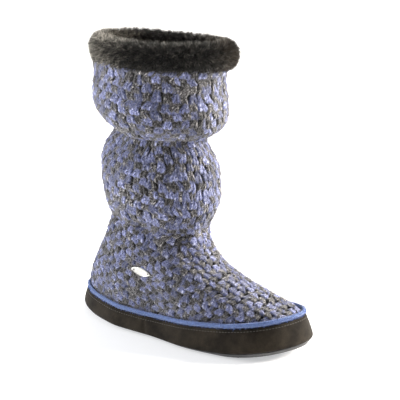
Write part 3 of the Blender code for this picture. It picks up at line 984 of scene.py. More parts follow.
def fur_material():
    """Return dark fur strands, paler at the tips, with painted light and a painted warm highlight
    carried in each strand's tone and tint.
    """
    material, tree, shader = new_material("fur strands", roughness=0.60, sheen=0.05)
    along, tone, warm_highlight = painted_parts(tree, "strand")
    middle = (0.50, (0.014, 0.013, 0.0115))
    tip = (1.0, (0.057, 0.054, 0.047))
    strand = ramp(tree, along, (0.0, grey(0.002)), middle, tip)
    tones = ((0.0, 0.3), (0.28, 1.5), (0.42, 7.5), (0.66, 16.0))
    shade = ramp(tree, tone, *((place, grey(level)) for place, level in tones))
    # The brown mix is a painted warm highlight; the tone carries painted light on the lamp's side.
    colour = mix(tree, warm_highlight, multiply(tree, strand, shade), (0.075, 0.052, 0.032))
    tree.links.new(colour, shader.inputs["Base Color"])
    return material


def fibre_material(name, plain, tinted):
    """Return thin loose fibres, a few of them much paler."""
    material, tree, shader = new_material(name, roughness=0.9)
    _, tone, tint = painted_parts(tree, "strand")
    shade = ramp(tree, tone, (0.0, grey(0.3)), (0.7, grey(1.2)), (1.0, grey(3.6)))
    colour = multiply(tree, mix(tree, tint, plain, tinted), shade)
    tree.links.new(colour, shader.inputs["Base Color"])
    return material


def suede_material():
    """Return napped dark brown suede, brushed paler in places."""
    material, tree, shader = new_material("suede nap", roughness=0.95, sheen=0.06)
    shader.inputs["Specular IOR Level"].default_value = 0.15
    brushed = noise(tree, 45.0, detail=4.0, roughness=0.6)
    nap = noise(tree, 1600.0, detail=3.0, roughness=0.7)
    base = ramp(tree, brushed, (0.36, (0.009, 0.0068, 0.005)), (0.66, (0.034, 0.027, 0.019)))
    colour = multiply(tree, base, ramp(tree, nap, (0.3, grey(0.65)), (0.7, grey(1.35))))
    tree.links.new(colour, shader.inputs["Base Color"])
    bump(tree, shader, nap, strength=0.5, distance=0.0004)
    return material


def fleece_cord_material():
    """Return the soft periwinkle cord, with painted shade in the hollows of its pile."""
    material, tree, shader = new_material("fleece cord", roughness=0.95, sheen=0.4)
    pile = noise(tree, 900.0, detail=4.0, roughness=0.7)
    # Painted shade: the pile is darkest where the noise that drives the bump is low.
    painted_hollow_shade = (0.30, (0.045, 0.075, 0.20))
    middle = (0.55, (0.12, 0.185, 0.40))
    tip = (0.75, (0.24, 0.33, 0.57))
    tree.links.new(ramp(tree, pile, painted_hollow_shade, middle, tip), shader.inputs["Base Color"])
    bump(tree, shader, pile, strength=0.9, distance=0.0009)
    return material


def rubber_material():
    """Return worn dark grey rubber."""
    material, tree, shader = new_material("moulded rubber", roughness=0.7)
    wear = noise(tree, 90.0, detail=5.0, roughness=0.6)
    colour = ramp(tree, wear, (0.35, grey(0.060)), (0.7, (0.115, 0.115, 0.118)))
    tree.links.new(colour, shader.inputs["Base Color"])
    rough = ramp(tree, wear, (0.3, grey(0.55)), (0.7, grey(0.82)))
    tree.links.new(rough, shader.inputs["Roughness"])
    place = add_node(tree, "ShaderNodeTexCoord").outputs["Object"]
    ribs = add_node(tree, "ShaderNodeTexWave", {"Vector": place, "Scale": 130.0, "Distortion": 1.5})
    bump(tree, shader, ribs.outputs["Fac"], strength=0.5, distance=0.0004)
    return material


def metal_material():
    """Return pale brushed metal."""
    material, tree, shader = new_material("brushed badge metal", roughness=0.28)
    shader.inputs["Metallic"].default_value = 1.0
    brushing = noise(tree, 2500.0)
    colour = ramp(tree, brushing, (0.3, (0.66, 0.65, 0.61)), (0.7, (0.80, 0.79, 0.75)))
    tree.links.new(colour, shader.inputs["Base Color"])
    rough = ramp(tree, brushing, (0.3, grey(0.22)), (0.7, grey(0.38)))
    tree.links.new(rough, shader.inputs["Roughness"])
    bump(tree, shader, brushing, strength=0.15, distance=0.00008)
    return material


def thread_material(name, colour):
    """Return twisted sewing thread."""
    material, tree, shader = new_material(name, roughness=0.8, sheen=0.2)
    twist = noise(tree, 2200.0)
    dark = tuple(0.6 * part for part in colour)
    tree.links.new(ramp(tree, twist, (0.3, dark), (0.7, colour)), shader.inputs["Base Color"])
    bump(tree, shader, twist, strength=0.4, distance=0.0002)
    return material


def plain_knit(angles, shares, heights):
    """Return the knit's face without its relief, from behind the piping to the rim."""
    foot = foot_face(angles, shares)
    margin = np.repeat(foot[:1], len(MARGIN_DROPS), axis=0)
    margin[:, :, 2] -= np.array(MARGIN_DROPS)[:, None]
    return np.concatenate([margin, foot, shaft_face(angles, heights)])


def carry_on(values, rows_above):
    """Repeat the foot's first row over the margin and its last one over the shaft."""
    below = np.tile(values[:1], (len(MARGIN_DROPS), 1))
    return np.concatenate([below, values, np.tile(values[-1:], (rows_above, 1))])


def join_knits(lower, higher, weight):
    """Return two knits joined, their relief blended and their colours changed at once."""
    joined = [lower[0] * (1 - weight) + higher[0] * weight]
    for old, new in zip(lower[1:], higher[1:]):
        chosen = weight > 0.5 if new.ndim == 2 else weight[:, :, None] > 0.5
        joined.append(np.where(chosen, new, old))
    return joined


def knit_face():
    """Return the knit's points with relief, its normals, its colours with the relief that sets their
    painted shade, and its streaks.
    """
    angles = turn(KNIT_COLUMNS)
    shares = np.linspace(0, 1, FOOT_ROWS)
    heights = np.linspace(ANKLE_HEIGHT, SHAFT_HEIGHT + RIM_LAP, LOWER_ROWS + UPPER_ROWS)[1:]
    points = plain_knit(angles, shares, heights)
    normals = grid_normals(points)
    steps = np.linalg.norm(np.diff(points, axis=0), axis=2)
    travelled = np.concatenate([np.zeros((1, len(angles))), np.cumsum(steps, axis=0)])
    above_ankle = travelled - travelled[ANKLE_ROW]
    above_piping = travelled - travelled[len(MARGIN_DROPS)]
    foot_u, foot_v = (carry_on(cloth, len(heights)) for cloth in foot_cloth(angles, shares))
    foot_v[ANKLE_ROW + 1 :] += above_ankle[ANKLE_ROW + 1 :] / ROW_PITCH
    fields = stitches(foot_u, foot_v)
    shaft_v = above_ankle / ROW_PITCH
    near_rim = smooth_step(RIM_BLEND, 1.0, heights / SHAFT_HEIGHT)[:, None]
    shaft_v[ANKLE_ROW + 1 :] = shaft_rows(heights)[:, None] + near_rim * rim_lift(angles) / ROW_PITCH
    plain_u = angles * STITCHES_ROUND / (2 * math.pi)
    skew = SKEW * np.exp(-(((angles - SKEW_ANGLE) / SKEW_SPREAD) ** 2))
    pinch_row = shaft_rows(PINCH_HEIGHT)
    for joint, middle in zip((0.0, pinch_row), SKEW_MIDDLES):
        fold_u = plain_u + skew * (shaft_v - middle * pinch_row)
        weight = smooth_step(-JOINT_BLEND, JOINT_BLEND, shaft_v - joint)
        fields = join_knits(fields, stitches(fold_u, shaft_v, STITCHES_ROUND), weight)
    relief, blue, tone, streak = fields
    tucked = smooth_step(0.0, TUCK_REACH, above_piping)
    lift = (relief - RELIEF_MIDDLE) * KNIT_RELIEF * between((TUCK_RELIEF, 1.0), tucked)
    lift = lift - TUCK_DEPTH * (1 - tucked)
    points = points + normals * lift[:, :, None]
    return points, normals, np.stack([blue, tone, relief], axis=-1), streak


def paint(mesh, name, values):
    """Store a colour for each vertex."""
    layer = mesh.color_attributes.new(name, "FLOAT_COLOR", "POINT")
    full = np.ones((len(mesh.vertices), 4))
    full[:, :3] = values
    layer.data.foreach_set("color", full.ravel())


def painted_sheet(name, points, layers, material):
    """Build a sheet that closes on itself round the boot, with colours for each vertex."""
    rows, columns = points.shape[:2]
    mesh_data = bmesh.new()
    bmesh.ops.create_grid(mesh_data, x_segments=columns - 1, y_segments=rows - 1, size=1.0)
    mesh = bpy.data.meshes.new(name)
    mesh_data.to_mesh(mesh)
    mesh_data.free()
    place = np.empty(len(mesh.vertices) * 3)
    mesh.vertices.foreach_get("co", place)
    place = place.reshape(-1, 3)
    column = np.rint((place[:, 0] + 1) / 2 * (columns - 1)).astype(int)
    row = np.rint((place[:, 1] + 1) / 2 * (rows - 1)).astype(int)
    mesh.vertices.foreach_set("co", points[row, column].ravel())
    for layer, values in layers.items():
        paint(mesh, layer, values[row, column])
    mesh_data = bmesh.new()
    mesh_data.from_mesh(mesh)
    bpy.data.meshes.remove(mesh)
    return finish_mesh(name, mesh_data, material)


def make_knit():
    """Build the knitted cloth of the foot and of the shaft's two folds."""
    material = knit_material()
    points, normals, colours, streak = knit_face()
    names = ("knit_foot", "knit_lower_fold", "knit_upper_fold")
    bounds = (0, ANKLE_ROW, ANKLE_ROW + LOWER_ROWS - 1, len(points) - 1)
    for name, first, last in zip(names, bounds, bounds[1:]):
        part = slice(first, last + 1)
        layers = {"yarn": colours[part], "streak": streak[part]}
        piece = painted_sheet(name, points[part], layers, material)
        belongs(piece, "upper")
    make_wool_fibres(points, normals, colours)


def make_wool_fibres(points, normals, colours):
    """Lay short loose fibres over the wool, each in the colour of the yarn below it."""
    random = np.random.default_rng(7)
    lowest, highest = WOOL_BARE_ROWS
    row = random.integers(lowest, len(points) - highest, WOOL_FIBRES)
    column = random.integers(1, points.shape[1] - 1, WOOL_FIBRES)
    up = unit(points[row + 1, column] - points[row - 1, column])
    around = unit(points[row, column + 1] - points[row, column - 1])
    heading = random.uniform(0, 2 * math.pi, WOOL_FIBRES)[:, None]
    out = normals[row, column]
    reach = np.cos(heading) * around + np.sin(heading) * up
    reach = reach + random.uniform(*WOOL_FIBRE_RISE, heading.shape) * out
    reach *= WOOL_FIBRE_LENGTH * random.uniform(*WOOL_FIBRE_REACH, heading.shape)
    root = points[row, column] - out * FIBRE_WIDTH
    tones = np.stack([random.uniform(0, 1, WOOL_FIBRES), colours[row, column, 0]], axis=-1)
    material = fibre_material("loose wool", (0.13, 0.125, 0.12), (0.15, 0.165, 0.32))
    fibres = make_strands("wool_fibres", root, reach, 0.0, FIBRE_WIDTH, FIBRE_STEPS, tones, material)
    belongs(fibres, "upper")


def make_lining():
    """Build the soft lining inside the foot and the shaft."""
    angles = turn(LINING_COLUMNS)
    foot_rows, shaft_rows_above = LINING_ROWS
    foot = foot_face(angles, np.linspace(0, 1, foot_rows))
    shaft = shaft_face(angles, np.linspace(ANKLE_HEIGHT, SHAFT_HEIGHT, shaft_rows_above)[1:])
    points = np.concatenate([foot, shaft])
    points = points - grid_normals(points) * WALL
    low = points[:1].copy()
    low[0, :, 2] = footbed_height(length_share(angles)) + GAP
    # The darker colour goes to the pile's hollows as painted shade.
    dark = (0.010, 0.010, 0.010)
    material = plush_material("fleece lining", dark, (0.040, 0.038, 0.036), scale=700.0)
    sheet_piece("fleece_lining", np.concatenate([low, points]), material, "upper")


def distances(path):
    """Return how far along a path each of its points lies."""
    steps = np.linalg.norm(np.diff(path, axis=0), axis=1)
    return np.concatenate([[0.0], np.cumsum(steps)])


def section_at(shares):
    """Return steps out and up on the collar's rounded section, at shares of the way round it."""
    corners = np.array(COLLAR_SECTION + COLLAR_SECTION[:1])
    travelled = distances(corners)
    travelled /= travelled[-1]
    out = 0.0
    up = 0.0
    for step in SECTION_EASE:
        at = np.mod(shares + step, 1.0)
        out = out + np.interp(at, travelled, corners[:, 0]) / len(SECTION_EASE)
        up = up + np.interp(at, travelled, corners[:, 1]) / len(SECTION_EASE)
    return out, up


def collar_points(angles, shares, scale):
    """Return points of the collar, its section scaled about its own middle."""
    out, up = section_at(shares)
    middle = np.array(COLLAR_SECTION).mean(axis=0)
    out = middle[0] + (out - middle[0]) * scale
    up = middle[1] + (up - middle[1]) * scale
    rim = RINGS[-1]
    free = np.clip(up / COLLAR_HEIGHT * SHIFT_GAIN, 0, 1)
    low = 1 - smooth_step(0.0, COLLAR_HEIGHT / 2, up)
    behind = 1 - rim_lift(angles) / RIM_LIFT
    size = (rim.half_length * SHAFT_RADIUS + out, rim.half_width * SHAFT_RADIUS + out)
    points = ring(angles, SHAFT_HEIGHT + up, size, rim.drift * SHAFT_RADIUS)
    points[..., 0] += COLLAR_SHIFT[0] * free
    points[..., 1] += COLLAR_SHIFT[1] * free
    points[..., 2] += rim_lift(angles) + HEM_LIFT * (1 + low) / 2 * behind
    return points


def make_fur_skin():
    """Build the dark skin under the fur."""
    angles = turn(SKIN_COLUMNS)[None, :]
    shares = np.linspace(0, 1, SKIN_ROWS)[:, None]
    points = collar_points(angles + 0 * shares, shares + 0 * angles, FUR_SKIN)
    # The darker grey goes to the pile's hollows as painted shade.
    material = plush_material("fur skin", grey(0.004), grey(0.018), scale=500.0)
    sheet_piece("fur_skin", points, material, "collar")


def strand_template(steps):
    """Return the corners and faces of one strand, from 0 to 1 along its length."""
    mesh_data = bmesh.new()
    bmesh.ops.create_grid(mesh_data, x_segments=1, y_segments=steps, size=1.0)
    corners = np.array([vert.co[:2] for vert in mesh_data.verts])
    corners[:, 1] = (corners[:, 1] + 1) / 2
    faces = np.array([[vert.index for vert in face.verts] for face in mesh_data.faces])
    mesh_data.free()
    return corners, faces


def make_strands(name, root, reach, sag, width, steps, tones, material):
    """Build tapering strands, each from its root along its reach and sagging at its tip."""
    number = len(root)
    random = np.random.default_rng(number)
    blade = unit(np.cross(reach, random.normal(0, 1, (number, 3))))
    corners, faces = strand_template(steps)
    along = corners[:, 1]
    across = corners[:, 0] * width / 2 * (1 - STRAND_TAPER * along**TAPER_POWER)
    points = root[:, None] + reach[:, None] * along[None, :, None]
    points = points + blade[:, None] * across[None, :, None]
    points[:, :, 2] -= np.broadcast_to(sag, number)[:, None] * along**2
    count = len(corners)
    values = np.empty((number, count, 3))
    values[:, :, 0] = along
    values[:, :, 1:] = tones[:, None]
    tiled = (faces[None] + count * np.arange(number)[:, None, None]).reshape(-1, 4)
    mesh = bpy.data.meshes.new(name)
    mesh.vertices.add(number * count)
    mesh.vertices.foreach_set("co", points.ravel())
    mesh.loops.add(tiled.size)
    mesh.loops.foreach_set("vertex_index", tiled.ravel())
    mesh.polygons.add(len(tiled))
    mesh.polygons.foreach_set("loop_start", np.arange(0, tiled.size, 4))
    mesh.update(calc_edges=True)
    paint(mesh, "strand", values.reshape(-1, 3))
    mesh.materials.append(material)
    mesh.shade_smooth()
    return add_object(name, mesh)


def waves(rows, angles, shares):
    """Return a table's waves over the fur, the last axis for its rows."""
    made = [np.sin(row.around * angles + row.along * shares + row.start) for row in rows]
    return np.stack(made, axis=-1)


def fur_tones(angles, shares, random):
    """Return each strand's random, patchy tone with painted light added on the lamp's side, and its
    painted warm highlight on the key's side.
    """
    patch = waves(TONE_WAVES, angles, shares).prod(axis=-1)
    tone = random.uniform(0, 1, FUR_STRANDS) * (1 + FUR_PATCHES * patch)
    # Painted light: strands facing the side lamp are made paler.
    painted_light = smooth_step(*FUR_PAINTED_LIGHT_FADE, np.cos(angles - FUR_PAINTED_LIGHT_ANGLE))
    tone = np.clip(tone * (1 + FUR_PAINTED_LIGHT * painted_light) / FUR_TONE_LIMIT, 0, 1)
    # Painted highlight: strands facing the key take a warm brown tint.
    warm_highlight = smooth_step(*FUR_WARM_HIGHLIGHT_FADE, np.cos(angles - FUR_WARM_HIGHLIGHT_ANGLE))
    return np.stack([tone, warm_highlight * random.uniform(0, 1, FUR_STRANDS)], axis=-1)


def make_fur(name, seed, limits, material):
    """Build one share of the fur as tapering, drooping strands."""
    random = np.random.default_rng(seed)
    angles = random.uniform(0, 2 * math.pi, FUR_STRANDS)
    shares = between(limits, random.uniform(0, 1, FUR_STRANDS))
    root = collar_points(angles, shares, FUR_SKIN - FUR_ROOT_DEPTH)
    outward = unit(collar_points(angles, shares, 1.0) - root)
    heading = outward + FUR_CLUMPING * waves(CLUMP_WAVES, angles, shares)
    heading += random.normal(0, FUR_STRAY, (FUR_STRANDS, 3))
    droop = smooth_step(*FUR_DROOP, shares)
    heading[:, 2] += FUR_RISE * (1 - droop) - FUR_FALL * droop
    length = FUR_LENGTH * random.uniform(*FUR_REACH, FUR_STRANDS)
    length *= between((FUR_SHORTEST, 1.0), droop)
    length *= 1 + FUR_UNEVEN * waves(LENGTH_WAVES, angles, shares).prod(axis=-1)
    reach = unit(heading) * length[:, None]
    sag = droop * length * FUR_SAG
    tones = fur_tones(angles, shares, random)
    piece = make_strands(name, root, reach, sag, FUR_WIDTH, FUR_STEPS, tones, material)
    belongs(piece, "collar")


def make_collar():
    """Build the fur cuff: its skin and its strands outside and inside."""
    make_fur_skin()
    material = fur_material()
    make_fur("fur_outside", 11, FUR_OUTSIDE, material)
    make_fur("fur_inside", 12, FUR_INSIDE, material)


def band_points(rings, steps):
    """Return rows of points that follow rings of corners, with steps between each two."""
    rows = []
    for lower, higher in zip(rings, rings[1:]):
        for step in range(steps):
            rows.append(lower + (higher - lower) * step / steps)
    rows.append(rings[-1])
    return np.array(rows)


def soften(points, turns):
    """Round off the corners of rows of points, the last row of which repeats the first."""
    for _ in range(turns):
        before = np.roll(points[:-1], 1, axis=0)
        after = np.roll(points[:-1], -1, axis=0)
        eased = (before + 2 * points[:-1] + after) / 4
        points = np.concatenate([eased, eased[:1]])
    return points


def foxing_rings(angles):
    """Return the corner rings of the suede band, from its top edge outside to its top inside."""
    share = length_share(angles)
    top, top_inset = foxing_top(share)
    widest = foxing_widest(share)
    hem, hem_inset = foxing_hem(share)
    middle = (top + widest) / 2
    low_inner = np.maximum(hem, underside(share) + TREAD_DEPTH + OUTSOLE_THICKNESS) + GAP
    high_inner = np.maximum(middle, low_inner + GAP)
    return [
        with_height(inset(angles, top_inset), top),
        with_height(inset(angles, top_inset / 2 - FOXING_BULGE), middle),
        with_height(inset(angles, 0.0), widest),
        with_height(inset(angles, hem_inset), hem),
        with_height(inset(angles, hem_inset + FOXING_THICKNESS), low_inner),
        with_height(inset(angles, top_inset / 2 + FOXING_THICKNESS), high_inner),
        with_height(inset(angles, top_inset + FOXING_THICKNESS), top),
        with_height(inset(angles, top_inset), top),
    ]


def make_foxing():
    """Build the suede band with its butt seam."""
    angles = turn(FOXING_COLUMNS)
    rows = soften(band_points(foxing_rings(angles), FOXING_STEPS), FOXING_EASING)
    seam = SEAM_ANGLE + (rows[:, :, 2] - SEAM_LEVEL) * SEAM_SLOPE
    near = np.exp(-(((angles[None, :] - seam) / SEAM_SPREAD) ** 2))
    inward = inset(angles, SEAM_DEPTH) - inset(angles, 0.0)
    rows[:, :, :2] += inward * near[:, :, None]
    sheet_piece("foxing_suede", rows, suede_material(), "foxing")


def small_bead(mesh_data, middle, axes, size):
    """Add one small rounded body with its own axes and size."""
    turned = Matrix(np.array(axes).T.tolist()).to_4x4()
    place = Matrix.Translation(middle) @ turned @ Matrix.Diagonal((*size, 1.0))
    bmesh.ops.create_icosphere(mesh_data, subdivisions=1, radius=0.5, matrix=place)


def point_at(path, travelled, distance):
    """Return the point a distance along a path."""
    return np.array([np.interp(distance, travelled, values) for values in path.T])


def make_suede_threads():
    """Build the row of small stitches that holds the suede under the cord."""
    top, middle = foxing_rings(turn(THREAD_PATH_STEPS))[:2]
    share = THREAD_DROP / (top[:, 2] - middle[:, 2])
    path = top + (middle - top) * share[:, None]
    travelled = distances(path)
    count = round(travelled[-1] / THREAD_PITCH)
    mesh_data = bmesh.new()
    for number in range(count):
        distance = number * travelled[-1] / count
        here = point_at(path, travelled, distance)
        along = unit(point_at(path, travelled, distance + THREAD_WIDTH) - here)
        outward = unit(np.cross(along, [0.0, 0.0, 1.0]))
        axes = (along, outward, np.cross(along, outward))
        small_bead(mesh_data, here, axes, (THREAD_LENGTH, THREAD_WIDTH, THREAD_WIDTH))
    material = thread_material("suede thread", (0.11, 0.10, 0.082))
    belongs(finish_mesh("foxing_threads", mesh_data, material), "foxing")


def make_piping():
    """Build the fleecy cord, thicker where its ends lap."""
    angles = turn(PIPING_COLUMNS)
    top, top_inset = foxing_top(length_share(angles))
    lap = np.exp(-(((angles - PIPING_LAP_ANGLE) / PIPING_LAP_SPREAD) ** 2))
    swell = 1 + PIPING_LAP_SWELL * lap
    rows = []
    for side_angle in turn(PIPING_SIDES):
        out = PIPING_WIDTH / 2 * math.cos(side_angle) * swell
        up = (PIPING_HEIGHT - 2 * GAP) / 2 * math.sin(side_angle)
        reach = top_inset + PIPING_WIDTH / 2 - out - PIPING_WIDTH / 2 * (swell - 1)
        rows.append(with_height(inset(angles, reach), top + PIPING_HEIGHT / 2 + GAP + up))
    sheet_piece("piping_cord", np.array(rows), fleece_cord_material(), "piping")


def make_cord_fibres():
    """Raise a short nap on the cord."""
    random = np.random.default_rng(9)
    angles = np.sort(random.uniform(0, 2 * math.pi, CORD_FIBRES))
    around = random.uniform(*CORD_FIBRE_ARC, CORD_FIBRES) * math.pi
    top, top_inset = foxing_top(length_share(angles))
    level = top + PIPING_HEIGHT / 2
    middle = with_height(inset(angles, top_inset + PIPING_WIDTH / 2), level)
    out = unit(with_height(inset(angles, top_inset - PIPING_WIDTH / 2), level) - middle)
    root = middle + out * (PIPING_WIDTH / 2 * np.cos(around))[:, None]
    root[:, 2] += PIPING_HEIGHT / 2 * np.sin(around) * CORD_FIBRE_SEAT
    reach = out * np.cos(around)[:, None] + random.normal(0, CORD_FIBRE_STRAY, (CORD_FIBRES, 3))
    reach[:, 2] += np.sin(around)
    reach *= CORD_FIBRE_LENGTH * random.uniform(*CORD_FIBRE_REACH, CORD_FIBRES)[:, None]
    tones = np.stack([random.uniform(0, 1, CORD_FIBRES), np.ones(CORD_FIBRES)], axis=-1)
    material = fibre_material("cord nap", (0.13, 0.125, 0.12), (0.13, 0.19, 0.42))
    piece = make_strands("cord_nap", root, reach, 0.0, FIBRE_WIDTH, FIBRE_STEPS, tones, material)
    belongs(piece, "piping")


def across_rows(loop_points, steps):
    """Return a grid that fills a sole shaped loop from side to side."""
    half = (len(loop_points) - 1) // 2
    outer = loop_points[: half + 1]
    inner = loop_points[::-1][: half + 1]
    share = np.linspace(0, 1, steps + 1)[:, None, None]
    return outer + (inner - outer) * share


def add_body(mesh_data, rings, steps, low_fill, top_fill):
    """Add a closed body: a band along rings of corners, and its first and last ring filled."""
    new_sheet(mesh_data, band_points(rings, steps))
    new_sheet(mesh_data, across_rows(rings[0], low_fill))
    new_sheet(mesh_data, across_rows(rings[-1], top_fill))


def pad_loop(first, last, shrink):
    """Return the plan outline of a tread pad between two shares of the length."""
    angles = turn(PAD_COLUMNS)
    reach = np.cos(angles)
    share = (first + last) / 2 + (last - first) / 2 * reach * shrink
    centre, half_width = plan_sizes(share)
    side = np.where(angles <= math.pi, -1.0, 1.0)
    rounding = np.sqrt(np.clip(1 - np.abs(reach) ** PAD_POWER, 0, 1))
    y = centre + side * (half_width - PAD_INSET) * rounding * shrink
    return share, np.stack([HEEL_X + LENGTH * share, y], axis=-1)


def add_pad(mesh_data, first, last):
    """Add one raised tread pad with softened edges."""
    rings = []
    for edge in PAD_EDGE:
        share, loop = pad_loop(first, last, edge.scale)
        rings.append(with_height(loop, underside(share) + TREAD_DEPTH * edge.level))
    new_sheet(mesh_data, np.array(rings))
    new_sheet(mesh_data, across_rows(rings[-1], COARSE_FILL))


def add_studs(mesh_data):
    """Add the round studs along the edge of the heel and the forefoot."""
    angles = turn(STUD_PATH_STEPS)
    share = length_share(angles)
    path = inset(angles, STUD_INSET)
    travelled = STUD_PITCH
    for here, before, place in zip(path[1:], path, share):
        travelled += math.dist(here, before)
        wanted = place < STUD_HEEL_LIMIT or place > STUD_TOE_LIMIT
        if wanted and travelled >= STUD_PITCH:
            middle = (*here, underside(place)[0] + TREAD_DEPTH * STUD_LEVEL)
            bmesh.ops.create_cone(
                mesh_data,
                cap_ends=True,
                segments=STUD_SIDES,
                radius1=STUD_RADIUS * STUD_TAPER,
                radius2=STUD_RADIUS,
                depth=TREAD_DEPTH * STUD_DEPTH,
                matrix=Matrix.Translation(middle),
            )
            travelled = 0.0


def make_outsole():
    """Build the rubber sole with its pads and studs."""
    angles = turn(SOLE_COLUMNS)
    share = length_share(angles)
    low = underside(share) + TREAD_DEPTH
    hem, hem_inset = foxing_hem(share)
    inner = SOLE_EDGE_INSET + FOXING_THICKNESS
    rings = [
        with_height(inset(angles, SOLE_EDGE_INSET), low),
        with_height(inset(angles, hem_inset + GAP), hem - GAP),
        with_height(inset(angles, inner), low + OUTSOLE_THICKNESS * SOLE_EDGE_LEVEL),
        with_height(inset(angles, inner + FOXING_THICKNESS), low + OUTSOLE_THICKNESS),
    ]
    mesh_data = bmesh.new()
    add_body(mesh_data, rings, SOLE_STEPS, FINE_FILL, COARSE_FILL)
    material = rubber_material()
    belongs(finish_mesh("outsole_rubber", mesh_data, material), "outsole")
    tread = bmesh.new()
    add_pad(tread, *HEEL_PAD)
    add_pad(tread, *FOREFOOT_PAD)
    add_studs(tread)
    belongs(finish_mesh("outsole_tread", tread, material, smooth=False), "outsole")


def make_insole():
    """Build the fleece covered footbed."""
    angles = turn(FOOTBED_COLUMNS)
    share = length_share(angles)
    _, top_inset = foxing_top(share)
    low = underside(share) + TREAD_DEPTH + OUTSOLE_THICKNESS + GAP
    top = footbed_height(share)
    clear = FOOTBED_REACH * top_inset + FOXING_THICKNESS + GAP
    low_inset = np.maximum(clear, SOLE_EDGE_INSET + 2 * FOXING_THICKNESS)
    rings = [
        with_height(inset(angles, low_inset), low),
        with_height(inset(angles, clear), low + FOOTBED_THICKNESS / 2),
        with_height(inset(angles, clear), top - FOOTBED_EDGE),
        with_height(inset(angles, clear + FOOTBED_EDGE), top),
    ]
    mesh_data = bmesh.new()
    add_body(mesh_data, rings, SOLE_STEPS, HIDDEN_FILL, FINE_FILL)
    # The darker colour goes to the pile's hollows as painted shade.
    dark = (0.020, 0.019, 0.018)
    material = plush_material("footbed fleece", dark, (0.075, 0.070, 0.066), scale=600.0)
    footbed = finish_mesh("footbed", mesh_data, material)
    belongs(footbed, "insole")


def badge_axes():
    """Return the badge's middle and its axes: along, across and outward."""
    angles = BADGE_ANGLE + np.array([-BADGE_ANGLE_STEP, 0.0, BADGE_ANGLE_STEP])
    here, above = foot_face(angles, [BADGE_LEVEL, BADGE_LEVEL + BADGE_LEVEL_STEP])
    outward = unit(np.cross(here[0] - here[2], above[1] - here[1]))
    level = unit(np.cross([0.0, 0.0, 1.0], outward))
    upward = np.cross(outward, level)
    along = level * math.cos(BADGE_DIP) - upward * math.sin(BADGE_DIP)
    return here[1], along, np.cross(outward, along), outward


def make_badge():
    """Build the blank plate with its raised rim, dark beads of painted shade for its sewing slots,
    and their thread.
    """
    middle, along, across, outward = badge_axes()
    angles = turn(BADGE_COLUMNS)
    x = np.cos(angles) * BADGE_LENGTH / 2
    y = np.sign(np.sin(angles)) * (1 - np.cos(angles) ** 2) ** BADGE_POINT * BADGE_WIDTH / 2
    rings = []
    for rim in BADGE_RIM:
        flat = along * x[:, None] * rim.scale + across * y[:, None] * rim.scale
        rings.append(middle + flat + outward * (BADGE_LIFT + BADGE_THICKNESS * rim.level))
    mesh_data = bmesh.new()
    add_body(mesh_data, rings, BADGE_STEPS, BADGE_FILL, BADGE_FILL)
    belongs(finish_mesh("badge_plate", mesh_data, metal_material()), "badge")
    face = middle + outward * (BADGE_LIFT + BADGE_THICKNESS * BADGE_RIM[-1].level)
    axes = (along, across, outward)
    mesh_data = bmesh.new()
    for side in (-1, 1):
        place = face + along * side * BADGE_SLOT_OFFSET
        # Painted shade: a flat dark bead in thread colour stands for each slot's opening.
        small_bead(mesh_data, place, axes, (*BADGE_SLOT, BADGE_THICKNESS / 2))
        for row in (-1, 1):
            end = place + across * row * THREAD_WIDTH
            small_bead(mesh_data, end, axes, (THREAD_LENGTH, THREAD_WIDTH, THREAD_WIDTH))
    material = thread_material("badge thread and slot shade", (0.045, 0.042, 0.050))
    belongs(finish_mesh("badge_threads_and_slot_shade", mesh_data, material), "badge")


def make_floor():
    """Lay the pale floor."""
    mesh_data = bmesh.new()
    bmesh.ops.create_grid(mesh_data, x_segments=1, y_segments=1, size=FLOOR_REACH)
    material, tree, shader = new_material("pale floor", roughness=0.9)
    tone = ramp(tree, noise(tree, 3.0), (0.0, grey(0.61)), (1.0, grey(0.64)))
    tree.links.new(tone, shader.inputs["Base Color"])
    shader.inputs["Emission Color"].default_value = (*COOL_WHITE, 1.0)
    shader.inputs["Emission Strength"].default_value = FLOOR_GLOW
    floor = finish_mesh("floor", mesh_data, material)


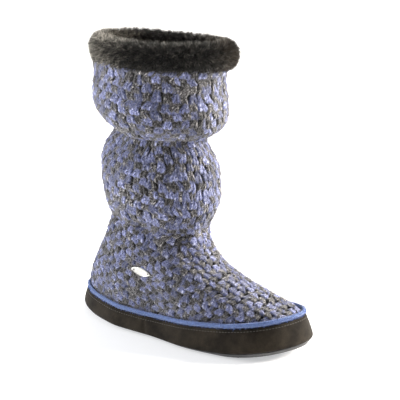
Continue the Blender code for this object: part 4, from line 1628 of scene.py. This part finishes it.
def make_world():
    """Make a studio that looks white and lights the boot more from its far wall."""
    world = bpy.data.worlds.new("studio")
    bpy.context.scene.world = world
    world.use_nodes = True
    tree = world.node_tree
    heading = add_node(tree, "ShaderNodeTexCoord").outputs["Generated"]
    towards = {0: heading, 1: BACK_WALL}
    facing = add_node(tree, "ShaderNodeVectorMath", towards, operation="DOT_PRODUCT")
    limits = {
        "Value": facing.outputs["Value"],
        "From Min": ROOM_TURN[0],
        "From Max": ROOM_TURN[1],
        "To Min": ROOM_DIM,
        "To Max": ROOM_BRIGHT,
    }
    level = add_node(tree, "ShaderNodeMapRange", limits).outputs["Result"]
    seen = add_node(tree, "ShaderNodeLightPath").outputs["Is Camera Ray"]
    level = add_node(tree, "ShaderNodeMath", {0: level, 1: seen}, operation="MAXIMUM")
    background = tree.nodes["Background"]
    background.inputs["Color"].default_value = (1.0, 1.0, 1.0, 1.0)
    tree.links.new(level.outputs["Value"], background.inputs["Strength"])


def make_key():
    """Light the boot from the right and the back."""
    sun = bpy.data.lights.new("key", "SUN")
    sun.energy = KEY_POWER
    sun.angle = KEY_SPREAD
    sun.color = KEY_COLOUR
    item = add_object("key", sun)
    item.rotation_euler = Vector(KEY_FROM).to_track_quat("Z", "Y").to_euler()


def make_side_lamp():
    """Hang a soft lamp on the left that points at the boot."""
    lamp = bpy.data.lights.new("side", "AREA")
    lamp.shape = "DISK"
    lamp.size = LAMP_SIZE
    lamp.energy = LAMP_POWER
    lamp.color = COOL_WHITE
    item = add_object("side", lamp)
    item.location = LAMP_PLACE
    item.rotation_euler = (Vector(LAMP_PLACE) - AIM).to_track_quat("Z", "Y").to_euler()


def make_camera():
    """Place the camera at the photographed angle."""
    lens = bpy.data.cameras.new("camera")
    lens.lens = FOCAL_LENGTH
    lens.sensor_width = SENSOR_WIDTH
    camera = add_object("camera", lens)
    camera.location = CAMERA_PLACE
    aimed = (AIM - CAMERA_PLACE).to_track_quat("-Z", "Y").to_matrix()
    sideways = Matrix.Rotation(-CAMERA_TURN[0], 3, "Y")
    upward = Matrix.Rotation(CAMERA_TURN[1], 3, "X")
    camera.rotation_euler = (aimed @ sideways @ upward).to_euler()
    bpy.context.scene.camera = camera


bpy.context.scene.view_settings.view_transform = "Standard"
make_camera()
make_world()
make_key()
make_side_lamp()
make_floor()
make_knit()
make_lining()
make_collar()
make_foxing()
make_suede_threads()
make_piping()
make_cord_fibres()
make_outsole()
make_insole()
make_badge()
